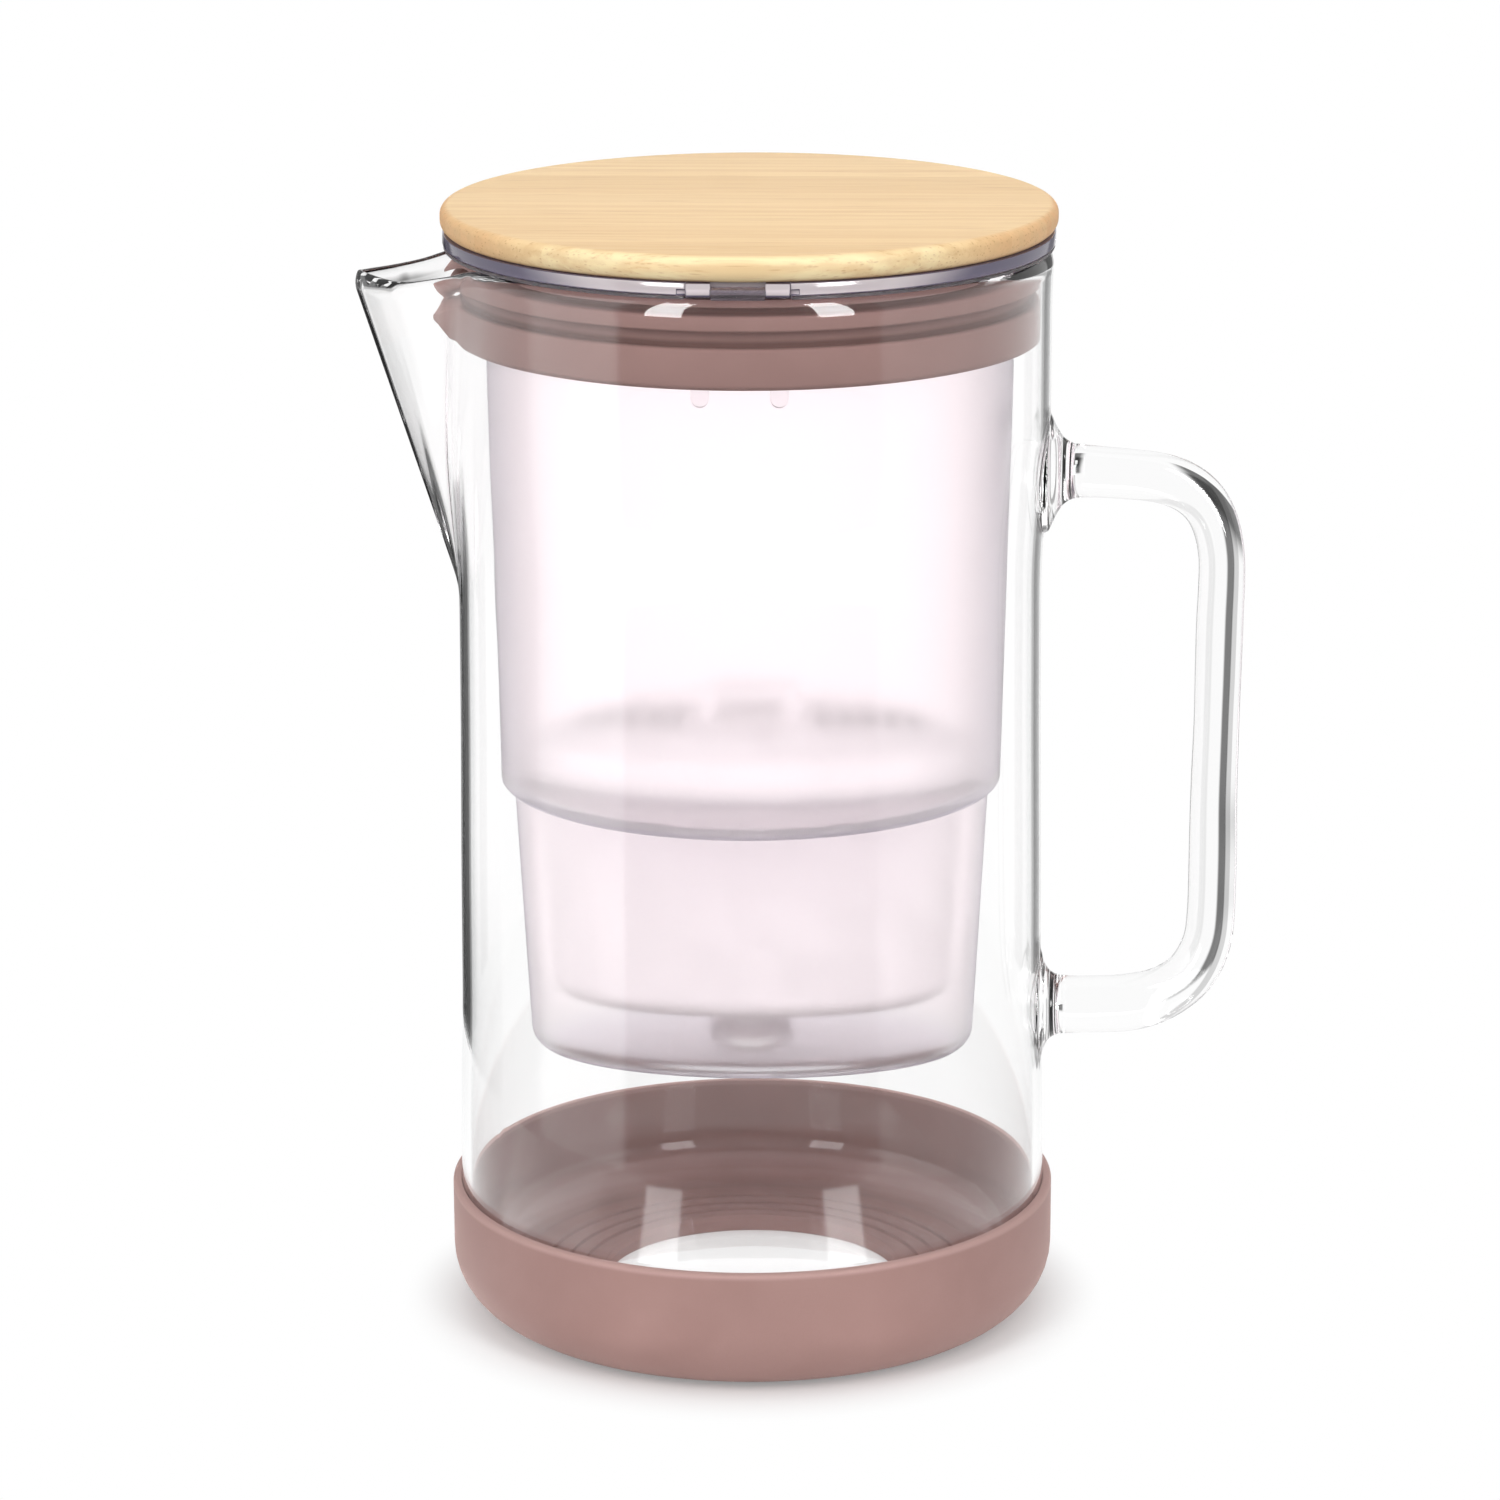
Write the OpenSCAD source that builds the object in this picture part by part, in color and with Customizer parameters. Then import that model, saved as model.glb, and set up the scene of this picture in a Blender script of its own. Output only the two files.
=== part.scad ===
// Water filter pitcher: a borosilicate glass jug with a drawn spout and a fused glass handle,
// a silicone boot, a frosted drop-in hopper that hangs from the rim in a silicone sealing ring,
// an oval filter cartridge in the hopper's pocket, and a bamboo lid that flips on a small hinge.
// Millimetres. Origin on the jug's axis at the table, +Z up, spout towards -X, handle towards +X.

/* [Glass jug] */
// Height of the glass rim above the table
rim_z = 240.6; // [230:0.2:250]
// Wall thickness of the glass
glass_t = 2.2; // [1.8:0.1:2.6]
// Outer radius near the foot
jug_foot_r = 65.4; // [65.2:0.1:65.6]
// Outer radius at the waist, where the body is slimmest
jug_waist_r = 63.8; // [63:0.1:64.6]
// Outer radius of the neck, which holds the sealing ring
jug_neck_r = 65.5; // [65.4:0.1:66]
// Height where the waist starts to swell into the neck
waist_z = 166; // [150:1:172]
// Height where the neck is straight again
neck_z = 202; // [190:1:212]
// Thickness of the glass floor
glass_floor_t = 4.5; // [3.5:0.1:6]
// Outer radius of the corner between the wall and the floor
jug_corner_r = 12; // [10:0.5:13]

/* [Spout] */
// Distance from the jug's axis to the tip of the lip
spout_reach = 85.1; // [80:0.1:88]
// How far the lip lies below the rim
lip_drop = 6; // [3:0.1:8]
// Half the width of the spout where it leaves the rim
spout_half_w = 26.5; // [22:0.5:28]
// Half the width of the lip at its shoulders, where it starts to close to the tip
lip_half_w = 16.4; // [13:0.2:18]
// Distance from the jug's axis to the lip's shoulders
lip_shoulder_x = 70; // [68:0.5:73]
// Outer radius of the rounded tip, seen from above
lip_r = 3.4; // [2.8:0.1:4.5]
// Height where the spout's ridge sinks into the wall
spout_foot_z = 158; // [150:1:165]

/* [Glass handle] */
// Diameter of the glass rod
rod_d = 10.5; // [9:0.1:12]
// Height of the upper arm's centre line
arm_top_z = 190.4; // [180:0.2:200]
// Height of the lower arm's centre line
arm_low_z = 68.2; // [60:0.2:80]
// Distance from the jug's axis to the grip's centre line
grip_x = 103.3; // [98:0.1:108]
// Bend radius at the top of the grip
bend_top_r = 23; // [15:0.5:26]
// Bend radius at the bottom of the grip
bend_low_r = 19; // [12:0.5:24]
// Radius of the fillet where the rod is fused to the wall
root_fillet = 8; // [5:0.5:9]

/* [Silicone boot] */
// Height of the boot's rim above the table
boot_h = 29; // [24:0.5:36]
// Outer radius of the boot
boot_r = 67.4; // [67:0.1:68]
// Outer radius of the boot's bottom corner
boot_corner_r = 16; // [13:0.5:17]
// Thickness of the boot's floor
boot_floor_t = 3; // [2.5:0.1:4]
// Radius of the window in the boot's floor
boot_window_r = 33; // [26:0.5:36]

/* [Hopper] */
// Outer radius of the hopper's collar, inside the sealing ring
collar_r = 57.3; // [56.8:0.1:57.4]
// Outer radius of the hopper just above the shoulder
shoulder_r = 55.1; // [54:0.1:56]
// Wall thickness of the hopper
hopper_t = 1.8; // [1.4:0.1:2]
// Height of the shoulder's underside
shoulder_z = 122.4; // [118:0.2:126]
// Half length of the oval pocket at the shoulder
pocket_rx = 52.6; // [51:0.1:52.8]
// Half width of the oval pocket at the shoulder
pocket_ry = 30; // [28:0.2:33]
// Height of the pocket's underside
pocket_z = 59; // [56:0.5:62]
// Outer radius of the flange that covers the glass rim
flange_r = 66; // [65.5:0.1:66.2]

/* [Sealing ring] */
// Outer radius of the fins and the band
seal_r = 63; // [62.6:0.1:63.1]
// Height of the band's lower edge
seal_low_z = 221.2; // [218:0.2:223]
// Height of the top fin's upper face
seal_top_z = 240.5; // [240:0.1:240.6]
// Distance from the axis to the tip of the band's beak
beak_reach = 67.8; // [65:0.1:70]

/* [Lid] */
// Radius of the bamboo disc
disc_r = 66.7; // [66:0.1:68]
// Thickness of the bamboo disc
disc_t = 5.7; // [5:0.1:8]
// Outer radius of the clear lid ring
lid_ring_r = 66.2; // [66:0.1:66.4]
// Thickness of the clear lid plate
lid_plate_t = 2; // [1.8:0.1:2.2]
// Diameter of the hinge pin
pin_d = 1.2; // [1:0.1:1.3]

/* [Filter cartridge] */
// Half length of the cartridge's body at its foot
cart_rx = 43.8; // [40:0.1:44]
// Half width of the cartridge's body at its foot
cart_ry = 22.6; // [20:0.1:23]
// Height of the cartridge's underside
cart_z = 71.5; // [70:0.5:74]
// Number of slits on each side of the cap
slits = 5; // [3:1:6]

/* [Hidden] */
$fn = 96;

fit_gap = 0.05;     // between fused or pushed-on pieces of one body
run_gap = 0.05;     // radial, between a pin and the bore it turns in
slim = 0.02;        // thickness of a slice that a hull starts from
eps = 0.1;          // how far a cut runs past a face

// heights
jug_z = boot_floor_t;
flange_low_z = rim_z + 0.2;
flange_t = 0.7;
flange_top_z = flange_low_z + flange_t;
flange_root_z = 239.4;      // underside of the flange's thick root, inside the sealing ring
flange_root_r = 60.4;
lid_low_z = flange_top_z + 0.15;
lid_plate_z = lid_low_z + 0.65;
disc_z = lid_plate_z + lid_plate_t;
top_z = disc_z + disc_t;

// points of an arc, from angle a0 to a1
function arc(x, z, r, a0, a1, steps = 8) =
    [for (i = [0:steps]) let (a = a0 + (a1 - a0) * i / steps) [x + r * cos(a), z + r * sin(a)]];

// smooth step from 0 to 1
function ease(t) = (1 - cos(180 * t)) / 2;

// the jug's wall between the foot and the neck, drawn inwards by inset
function jug_wall(inset, steps = 10) = concat(
    [[jug_foot_r - inset, 45]],
    [for (i = [0:3]) [jug_waist_r - inset + (1 - ease(i / 3)) * (jug_foot_r - jug_waist_r) * 0.5,
        70 + i * (waist_z - 70) / 3]],
    [for (i = [1:steps]) let (t = i / steps)
        [jug_waist_r - inset + ease(t) * (jug_neck_r - jug_waist_r), waist_z + t * (neck_z - waist_z)]]);

// an oval outline
module oval(rx, ry) {
    polygon([for (i = [0:39]) [rx * cos(i * 9), ry * sin(i * 9)]]);
}

// a thin oval slice at height z
module oval_slice(rx, ry, z) {
    translate([0, 0, z])
        linear_extrude(slim)
            oval(rx, ry);
}

// a thin round slice at height z
module round_slice(x, y, z, r, h = slim) {
    translate([x, y, z])
        cylinder(h = h, r = r, $fn = 32);
}

// ---------------------------------------------------------------- glass jug

// The solid body that the glass would fill, without its hollow
module jug_outside() {
    kick = 1.5;             // how far the middle of the foot is pushed up
    rim_round = glass_t / 2;
    corner_x = jug_foot_r - jug_corner_r;
    rotate_extrude()
        polygon(concat(
            [[0, jug_z + kick], [26, jug_z + 0.7 * kick], [40, jug_z]],
            arc(corner_x, jug_z + jug_corner_r, jug_corner_r, -90, 0),
            jug_wall(0),
            arc(jug_neck_r - rim_round, rim_z - rim_round, rim_round, 0, 90, 4),
            [[0, rim_z]]));
}

module jug_inside() {
    corner_r = jug_corner_r - glass_t;
    floor_z = jug_z + glass_floor_t;
    rim_round = glass_t / 2;
    inner_r = jug_neck_r - glass_t;
    rotate_extrude()
        polygon(concat(
            [[0, floor_z + 1]],
            arc(jug_foot_r - glass_t - corner_r, floor_z + corner_r, corner_r, -90, 0),
            jug_wall(glass_t),
            [for (i = [0:3]) [inner_r + rim_round * (1 - cos(30 * i)),
                rim_z - rim_round + rim_round * sin(30 * i)]],
            [[inner_r + rim_round, rim_z + eps], [0, rim_z + eps]]));
}

// The spout as a wedge that runs from its foot in the wall out to the lip.
// inset draws it inwards by the wall; rise carries its top up past the rim, for cutting.
module spout_wedge(inset, rise) {
    tip_x = spout_reach - lip_r;
    root_x = jug_neck_r - 8.5;
    root_r = 4.5;
    lip_side_r = 6;        // outer radius of each of the lip's shoulders
    lip_z = rim_z - lip_drop;
    slope = (spout_reach - jug_waist_r) / (lip_z - spout_foot_z - 6);
    foot_x = spout_reach - slope * (lip_z - spout_foot_z) - inset;
    foot_r = 3 - inset;
    hull() {
        round_slice(-tip_x, 0, lip_z, lip_r - inset, rise);
        for (side = [-1, 1]) {
            round_slice(-lip_shoulder_x, side * (lip_half_w - lip_side_r), lip_z, lip_side_r - inset, rise);
            round_slice(-root_x, side * (spout_half_w - root_r), rim_z, root_r - inset, rise);
        }
        round_slice(-foot_x + foot_r, 0, spout_foot_z, foot_r);
    }
}

module glass_jug() {
    color([0.86, 0.92, 0.94, 0.45])
        difference() {
            union() {
                jug_outside();
                spout_wedge(0, slim);
            }
            jug_inside();
            spout_wedge(glass_t, 12);
        }
}

// ------------------------------------------------------------- glass handle

// One arm, from the wall to its bend, with the flared root where it is fused to the wall
module handle_arm(z, bend_r) {
    rod_r = rod_d / 2;
    wall_x = jug_waist_r - 1;
    fillet_x = jug_neck_r + root_fillet;
    translate([wall_x, 0, z])
        rotate([0, 90, 0])
            rotate_extrude()
                polygon(concat(
                    [[0, 0], [rod_r + root_fillet * 0.62, 0]],
                    [for (i = [0:8]) let (a = 90 * i / 8)
                        [rod_r + root_fillet * 0.62 * (1 - sin(a)),
                         fillet_x - wall_x - root_fillet * cos(a)]],
                    [[rod_r, grip_x - bend_r - wall_x], [0, grip_x - bend_r - wall_x]]));
}

// A quarter bend of the rod about (x, z), starting at angle a0
module rod_bend(x, z, bend_r, a0) {
    translate([x, 0, z])
        rotate([90, 0, 0])
            rotate([0, 0, a0])
                rotate_extrude(angle = 90)
                    translate([bend_r, 0])
                        circle(d = rod_d, $fn = 48);
}

module glass_handle() {
    grip_low_z = arm_low_z + bend_low_r;
    grip_top_z = arm_top_z - bend_top_r;
    color([0.86, 0.92, 0.94, 0.45])
        difference() {
            union() {
                handle_arm(arm_top_z, bend_top_r);
                handle_arm(arm_low_z, bend_low_r);
                rod_bend(grip_x - bend_top_r, grip_top_z, bend_top_r, 0);
                rod_bend(grip_x - bend_low_r, grip_low_z, bend_low_r, -90);
                translate([grip_x, 0, grip_low_z])
                    cylinder(h = grip_top_z - grip_low_z, d = rod_d);
            }
            jug_outside();
        }
}

// ------------------------------------------------------------- silicone boot

module base_sleeve() {
    edge = 1.4;             // rounding of the rim's outer edge
    inner_r = jug_foot_r + fit_gap;
    inner_corner = jug_corner_r;
    groove_t = 0.8;         // depth of the rings moulded into the floor
    color([0.68, 0.53, 0.51])
        rotate_extrude()
            polygon(concat(
                [[boot_window_r, 0]],
                arc(boot_r - boot_corner_r, boot_corner_r, boot_corner_r, -90, 0, 12),
                arc(boot_r - edge, boot_h - edge, edge, 0, 90, 5),
                [[inner_r, boot_h]],
                [for (i = [0:8]) let (a = -90 * i / 8)
                    [inner_r - inner_corner + inner_corner * cos(a),
                     boot_floor_t + inner_corner + inner_corner * sin(a)]],
                [for (r = [48, 43, 38.6]) each [[r, boot_floor_t], [r, boot_floor_t - groove_t],
                    [r - 1.4, boot_floor_t - groove_t], [r - 1.4, boot_floor_t]]],
                [[boot_window_r + 0.8, boot_floor_t], [boot_window_r, boot_floor_t - 0.8]]));
}

// -------------------------------------------------------------------- hopper

leg_x = 8.2;                // the bracket's legs stand this far from its middle
leg_w = 3.7;
leg_t = 1.2;
leg_low_z = 216.9;
bracket_half_w = 11;
cup_r = 9;                  // the cup in the pocket's floor that takes the cartridge's outlet
cup_h = 5.5;
outlet_r = 6;
bead_z = 226;               // height of the bead that keeps the sealing ring in place
bead_h = 1.4;
bead_t = 0.9;

// The pocket's form at the shoulder, near its foot and on its floor, drawn inwards by inset
module pocket_form(inset, lift) {
    foot_rx = 49.1 - inset;
    foot_ry = 27.9 - inset;
    round_step = 1.3;
    hull() {
        oval_slice(pocket_rx - inset, pocket_ry - inset, shoulder_z + inset + lift);
        oval_slice(foot_rx, foot_ry, pocket_z + inset + 5);
        oval_slice(foot_rx - round_step, foot_ry - round_step, pocket_z + inset + 1.5);
        oval_slice(foot_rx - 3 * round_step, foot_ry - 3 * round_step, pocket_z + inset);
    }
}

module hopper() {
    round_r = 1.6;
    shoulder_top_z = shoulder_z + hopper_t;
    straight_z = 212;       // above this height the wall is straight
    mouth_z = flange_top_z;
    color([0.93, 0.90, 0.93, 0.8])
        difference() {
            union() {
                rotate_extrude()
                    polygon(concat(
                        [[0, shoulder_z]],
                        arc(shoulder_r - round_r, shoulder_z + round_r, round_r, -90, 0, 5),
                        [[collar_r, straight_z], [collar_r, bead_z], [collar_r + bead_t, bead_z + bead_h / 3],
                         [collar_r + bead_t, bead_z + bead_h * 2 / 3], [collar_r, bead_z + bead_h],
                         [collar_r, flange_root_z], [flange_root_r, flange_root_z],
                         [flange_root_r, flange_low_z], [flange_r - 0.2, flange_low_z],
                         [flange_r, flange_low_z + 0.2], [flange_r, mouth_z - 0.2],
                         [flange_r - 0.2, mouth_z], [0, mouth_z]]));
                pocket_form(0, 0.5);
            }
            // the reservoir
            rotate_extrude()
                polygon([[0, shoulder_top_z], [shoulder_r - hopper_t - 0.6, shoulder_top_z],
                    [shoulder_r - hopper_t, shoulder_top_z + 0.8], [collar_r - hopper_t, straight_z],
                    [collar_r - hopper_t, mouth_z - 0.8], [collar_r - hopper_t + 0.8, mouth_z],
                    [collar_r - hopper_t + 0.8, mouth_z + eps], [0, mouth_z + eps]]);
            // the pocket, opened into the reservoir, with its outlet cup left standing
            difference() {
                pocket_form(hopper_t, 1);
                translate([0, 0, pocket_z])
                    cylinder(h = hopper_t + cup_h, r = cup_r);
            }
            translate([0, 0, pocket_z + hopper_t])
                cylinder(h = cup_h + eps, r = cup_r - hopper_t + 0.3);
            translate([0, 0, pocket_z - eps])
                cylinder(h = hopper_t + 2 * eps, r = outlet_r);
            // the notches in the flange and the bead, where the hinge bracket is pushed in
            difference() {
                union() {
                    translate([-bracket_half_w - 0.1, -flange_r - 1, flange_root_z - eps])
                        cube([2 * bracket_half_w + 0.2, 14, mouth_z - flange_root_z + 2 * eps]);
                    for (side = [-1, 1])
                        translate([side * leg_x - leg_w / 2 - 0.2, -collar_r - 3, bead_z - 1])
                            cube([leg_w + 0.4, 8, bead_h + 2]);
                }
                translate([0, 0, bead_z - 2])
                    cylinder(h = top_z - bead_z, r = collar_r);
            }
        }
}

// -------------------------------------------------------------- sealing ring

// One beak: a fin drawn out to a point that follows the glass spout
module beak(reach, tip_r, tip_z, low_z, high_z) {
    spread = 16;            // degrees each side of the spout where the beak leaves the ring
    root_r = seal_r - 2.2;
    hull() {
        translate([-reach + tip_r, 0, tip_z])
            sphere(r = tip_r, $fn = 20);
        for (side = [-1, 1])
            round_slice(-root_r * cos(spread), side * root_r * sin(spread), low_z, 1.6, high_z - low_z);
    }
}

// What the sealing ring leaves free inside: the hopper's collar, its bead and its flange's root
module collar_bore() {
    inner_r = collar_r + 0.1;
    rotate_extrude()
        polygon([[0, seal_low_z - 1], [inner_r, seal_low_z - 1], [inner_r, bead_z - 0.1],
            [inner_r + bead_t, bead_z + bead_h / 3 - 0.1], [inner_r + bead_t, bead_z + bead_h * 2 / 3 + 0.1],
            [inner_r, bead_z + bead_h + 0.1], [inner_r, flange_root_z - 0.1],
            [flange_root_r + 0.1, flange_root_z - 0.1], [flange_root_r + 0.1, seal_top_z + 1],
            [0, seal_top_z + 1]]);
}

module sealing_ring() {
    groove_r = 60.9;
    band_top = seal_low_z + 8.9;
    fin_low = seal_low_z + 12.5;
    fin_high = seal_low_z + 15.6;
    lip_low = seal_low_z + 17.1;
    color([0.66, 0.53, 0.49])
        difference() {
            union() {
                rotate_extrude()
                    polygon(concat(
                        [[collar_r - 1, seal_low_z]],
                        arc(seal_r - 1.4, seal_low_z + 1.4, 1.4, -90, 0, 4),
                        [[seal_r, band_top - 0.6], [seal_r - 0.6, band_top], [groove_r, band_top],
                         [groove_r, fin_low], [seal_r - 0.2, fin_low], [seal_r, fin_low + 0.4],
                         [seal_r - 0.3, fin_high], [groove_r, fin_high], [groove_r, lip_low],
                         [seal_r, lip_low], [seal_r - 0.3, seal_top_z], [collar_r - 1, seal_top_z]]));
                beak(beak_reach, 1.1, seal_low_z + 3.2, seal_low_z + 1, band_top - 0.5);
                beak(beak_reach - 2.2, 1.2, fin_low - 3.2, fin_low, fin_high - 0.3);
                beak(beak_reach - 2.4, 0.8, lip_low - 4, lip_low - 0.4, seal_top_z - 0.3);
            }
            collar_bore();
            // the channels for the bracket's legs
            for (side = [-1, 1])
                translate([side * leg_x - leg_w / 2 - 0.2, -collar_r - leg_t - 0.4, seal_low_z - 1])
                    cube([leg_w + 0.4, 6, seal_top_z - seal_low_z + 2]);
        }
}

// --------------------------------------------------------------- lid's hinge

hinge_y = -65.1;
hinge_z = lid_low_z + 0.8;
knuckle_r = 1.1;
knuckle_in = 5.7;           // the lid's knuckles run from here ...
knuckle_out = 10.7;         // ... to here, on each side
pin_r = pin_d / 2;

// A round bar along X about the hinge axis, centred on x
module hinge_bar(x, length, r) {
    translate([x - length / 2, hinge_y, hinge_z])
        rotate([0, 90, 0])
            cylinder(h = length, r = r, $fn = 48);
}

module hinge_bracket() {
    plate_z = flange_low_z;
    plate_top = flange_top_z;
    plate_front = hinge_y + knuckle_r + 0.5;
    centre_w = 2 * knuckle_in - 0.3;
    color([0.55, 0.55, 0.62, 0.85])
        difference() {
            union() {
                // the plate that lies in the flange's notch
                difference() {
                    translate([-bracket_half_w, plate_front, plate_z])
                        cube([2 * bracket_half_w, -plate_front - collar_r + 2, plate_top - plate_z]);
                    translate([0, 0, plate_z - 1])
                        cylinder(h = 3, r = collar_r + fit_gap);
                }
                // the middle knuckle, on its foot
                hinge_bar(0, centre_w, knuckle_r);
                translate([-centre_w / 2, hinge_y - knuckle_r + 0.2, plate_z])
                    cube([centre_w, plate_front + 1 - hinge_y + knuckle_r, plate_top - plate_z]);
                translate([-centre_w / 2, hinge_y - knuckle_r + 0.2, plate_z])
                    cube([centre_w, 2 * knuckle_r - 0.2, hinge_z - plate_z]);
                // two legs that reach down between the hopper and the sealing ring
                intersection() {
                    difference() {
                        translate([0, 0, leg_low_z])
                            cylinder(h = plate_top - leg_low_z, r = collar_r + fit_gap + leg_t);
                        translate([0, 0, leg_low_z - 1])
                            cylinder(h = plate_top - leg_low_z + 2, r = collar_r + fit_gap);
                    }
                    union()
                        for (side = [-1, 1])
                            translate([side * leg_x, -collar_r + 4, 0])
                                rotate([90, 0, 0])
                                    linear_extrude(10)
                                        union() {
                                            translate([-leg_w / 2, leg_low_z + leg_w / 2])
                                                square([leg_w, plate_top - leg_low_z - leg_w / 2]);
                                            translate([0, leg_low_z + leg_w / 2])
                                                circle(d = leg_w, $fn = 32);
                                        }
                }
            }
            hinge_bar(0, centre_w + 2, pin_r + run_gap);
        }
}

module hinge_pin() {
    color([0.78, 0.78, 0.8])
        hinge_bar(0, 2 * knuckle_out - 0.4, pin_r);
}

// ----------------------------------------------------------------------- lid

screw_r = 40;               // the screws stand on this circle
screw_count = 4;
shank_r = 1.2;
head_r = 2.6;
head_t = 1.1;

module at_screws() {
    for (i = [0:screw_count - 1])
        rotate([0, 0, 45 + i * 360 / screw_count])
            translate([screw_r, 0, 0])
                children();
}

module lid_ring() {
    skirt_r = collar_r - hopper_t - 0.7;
    skirt_t = 1.5;
    skirt_low_z = 236.8;
    notch_y = hinge_y + knuckle_r + 0.25;
    color([0.55, 0.52, 0.62, 0.8])
        difference() {
            union() {
                difference() {
                    rotate_extrude()
                        polygon([[0, lid_plate_z], [skirt_r - skirt_t, lid_plate_z],
                            [skirt_r - skirt_t, skirt_low_z + 0.4], [skirt_r - skirt_t + 0.4, skirt_low_z],
                            [skirt_r - 0.6, skirt_low_z], [skirt_r, skirt_low_z + 0.8],
                            [skirt_r, lid_plate_z], [lid_ring_r - 2.4, lid_plate_z],
                            [lid_ring_r - 2.4, lid_low_z], [lid_ring_r - 0.3, lid_low_z],
                            [lid_ring_r, lid_low_z + 0.3], [lid_ring_r, disc_z], [0, disc_z]]);
                    translate([-knuckle_out - 0.2, -lid_ring_r - 1, lid_low_z - 1])
                        cube([2 * knuckle_out + 0.4, lid_ring_r + 1 + notch_y, disc_z - lid_low_z + 1.5]);
                }
                for (side = [-1, 1]) {
                    hinge_bar(side * (knuckle_in + knuckle_out) / 2, knuckle_out - knuckle_in, knuckle_r);
                    translate([side * (knuckle_in + knuckle_out) / 2 - (knuckle_out - knuckle_in) / 2,
                        hinge_y - 1, hinge_z])
                        cube([knuckle_out - knuckle_in, notch_y + 1.5 - hinge_y, disc_z - hinge_z]);
                }
            }
            hinge_bar(0, 2 * knuckle_out + 2, pin_r + 0.02);
            at_screws()
                translate([0, 0, lid_plate_z - 1])
                    cylinder(h = lid_plate_t + 2, r = shank_r + 0.1, $fn = 32);
        }
}

module bamboo_disc() {
    low_round = 2.6;
    top_round = 1.8;
    pilot_depth = 3.8;
    color([0.93, 0.80, 0.60])
        difference() {
            rotate_extrude()
                polygon(concat(
                    [[0, disc_z]],
                    arc(disc_r - low_round, disc_z + low_round, low_round, -90, 0, 6),
                    arc(disc_r - top_round, top_z - top_round, top_round, 0, 90, 5),
                    [[0, top_z]]));
            at_screws()
                translate([0, 0, disc_z - eps])
                    cylinder(h = pilot_depth + eps, r = shank_r + 0.02, $fn = 32);
        }
}

module lid_screws() {
    color([0.75, 0.75, 0.77])
        at_screws()
            union() {
                translate([0, 0, lid_plate_z - head_t])
                    cylinder(h = head_t, r = head_r, $fn = 32);
                translate([0, 0, lid_plate_z - 0.5])
                    cylinder(h = lid_plate_t + 3.5 + 0.5, r = shank_r, $fn = 32);
            }
}

// ---------------------------------------------------------- filter cartridge

cart_wall = 1.6;
cart_rim_z = shoulder_z + hopper_t + 0.3;   // underside of the cartridge's flange, just above the shoulder
cart_rim_t = 1.6;
cart_rim_rx = 52.2;
cart_rim_ry = 30.4;
cart_top_rx = 47.6;
cart_top_ry = 25.4;
spigot_r = 5.6;
spigot_low_z = pocket_z + hopper_t + 1.2;
cap_top_z = 135.5;
pull_gap = 5;
pull_t = 2.2;

// The cartridge's body between its foot and its rim, drawn inwards by inset
module cartridge_form(inset, low_z, high_z) {
    corner = 3;
    hull() {
        oval_slice(cart_top_rx - inset, cart_top_ry - inset, high_z);
        oval_slice(cart_rx - inset, cart_ry - inset, low_z + corner);
        oval_slice(cart_rx - corner - inset, cart_ry - corner - inset, low_z);
    }
}

module cartridge_shell() {
    color("white")
        difference() {
            union() {
                cartridge_form(0, cart_z, cart_rim_z);
                translate([0, 0, cart_rim_z])
                    linear_extrude(cart_rim_t)
                        oval(cart_rim_rx, cart_rim_ry);
                translate([0, 0, spigot_low_z])
                    cylinder(h = cart_z - spigot_low_z + 1, r = spigot_r);
            }
            cartridge_form(cart_wall, cart_z + cart_wall, cart_rim_z + cart_rim_t + eps);
            translate([0, 0, spigot_low_z - eps])
                cylinder(h = cart_z - spigot_low_z + cart_wall + 1, r = spigot_r - cart_wall);
        }
}

// The cap's dome, drawn inwards by inset
module cap_dome(inset, low_z) {
    hull() {
        oval_slice(50 - inset, 28 - inset, low_z);
        oval_slice(47 - inset, 25 - inset, cap_top_z - 4 - inset);
        oval_slice(38 - inset, 16.5 - inset, cap_top_z - inset);
    }
}

module cartridge_cap() {
    cap_z = cart_rim_z + cart_rim_t;
    slit_w = 1.6;
    slit_pitch = 5;
    slit_l = 15;
    pull_w = 22;
    pull_d = 7;
    color("white")
        union() {
            difference() {
                cap_dome(0, cap_z);
                cap_dome(1.5, cap_z - eps);
                for (side = [-1, 1], i = [0:slits - 1])
                    translate([side * (16 + i * slit_pitch) - slit_w / 2, -slit_l / 2, cap_top_z - 8])
                        cube([slit_w, slit_l, 10]);
            }
            // the pull: a low bridge to lift the cartridge by
            difference() {
                translate([-pull_w / 2, -pull_d / 2, cap_top_z - 1])
                    cube([pull_w, pull_d, pull_gap + pull_t + 1]);
                translate([-pull_w / 2 + 3, -pull_d, cap_top_z])
                    cube([pull_w - 6, 2 * pull_d, pull_gap]);
            }
        }
}

module cartridge_seal() {
    seal_h = 4;
    low_z = cart_rim_z - seal_h - 0.2;
    color([0.85, 0.86, 0.88])
        translate([0, 0, low_z])
            difference() {
                linear_extrude(seal_h)
                    oval(cart_top_rx + 2.3, cart_top_ry + 2.2);
                translate([0, 0, -eps])
                    linear_extrude(seal_h + 2 * eps)
                        oval(cart_top_rx + 0.1, cart_top_ry + 0.1);
            }
}

module inlet_mesh() {
    color([0.8, 0.8, 0.78])
        translate([0, 0, cart_rim_z + cart_rim_t - 1.2])
            linear_extrude(0.6)
                oval(cart_top_rx - cart_wall - 0.3, cart_top_ry - cart_wall - 0.3);
}

module filter_media() {
    color([0.2, 0.2, 0.2])
        cartridge_form(cart_wall + 0.3, cart_z + cart_wall + 1.4, cart_rim_z - 1);
}

module outlet_mesh() {
    color([0.8, 0.8, 0.78])
        translate([0, 0, cart_z + cart_wall + 0.4])
            cylinder(h = 0.6, r = 14);
}

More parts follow.
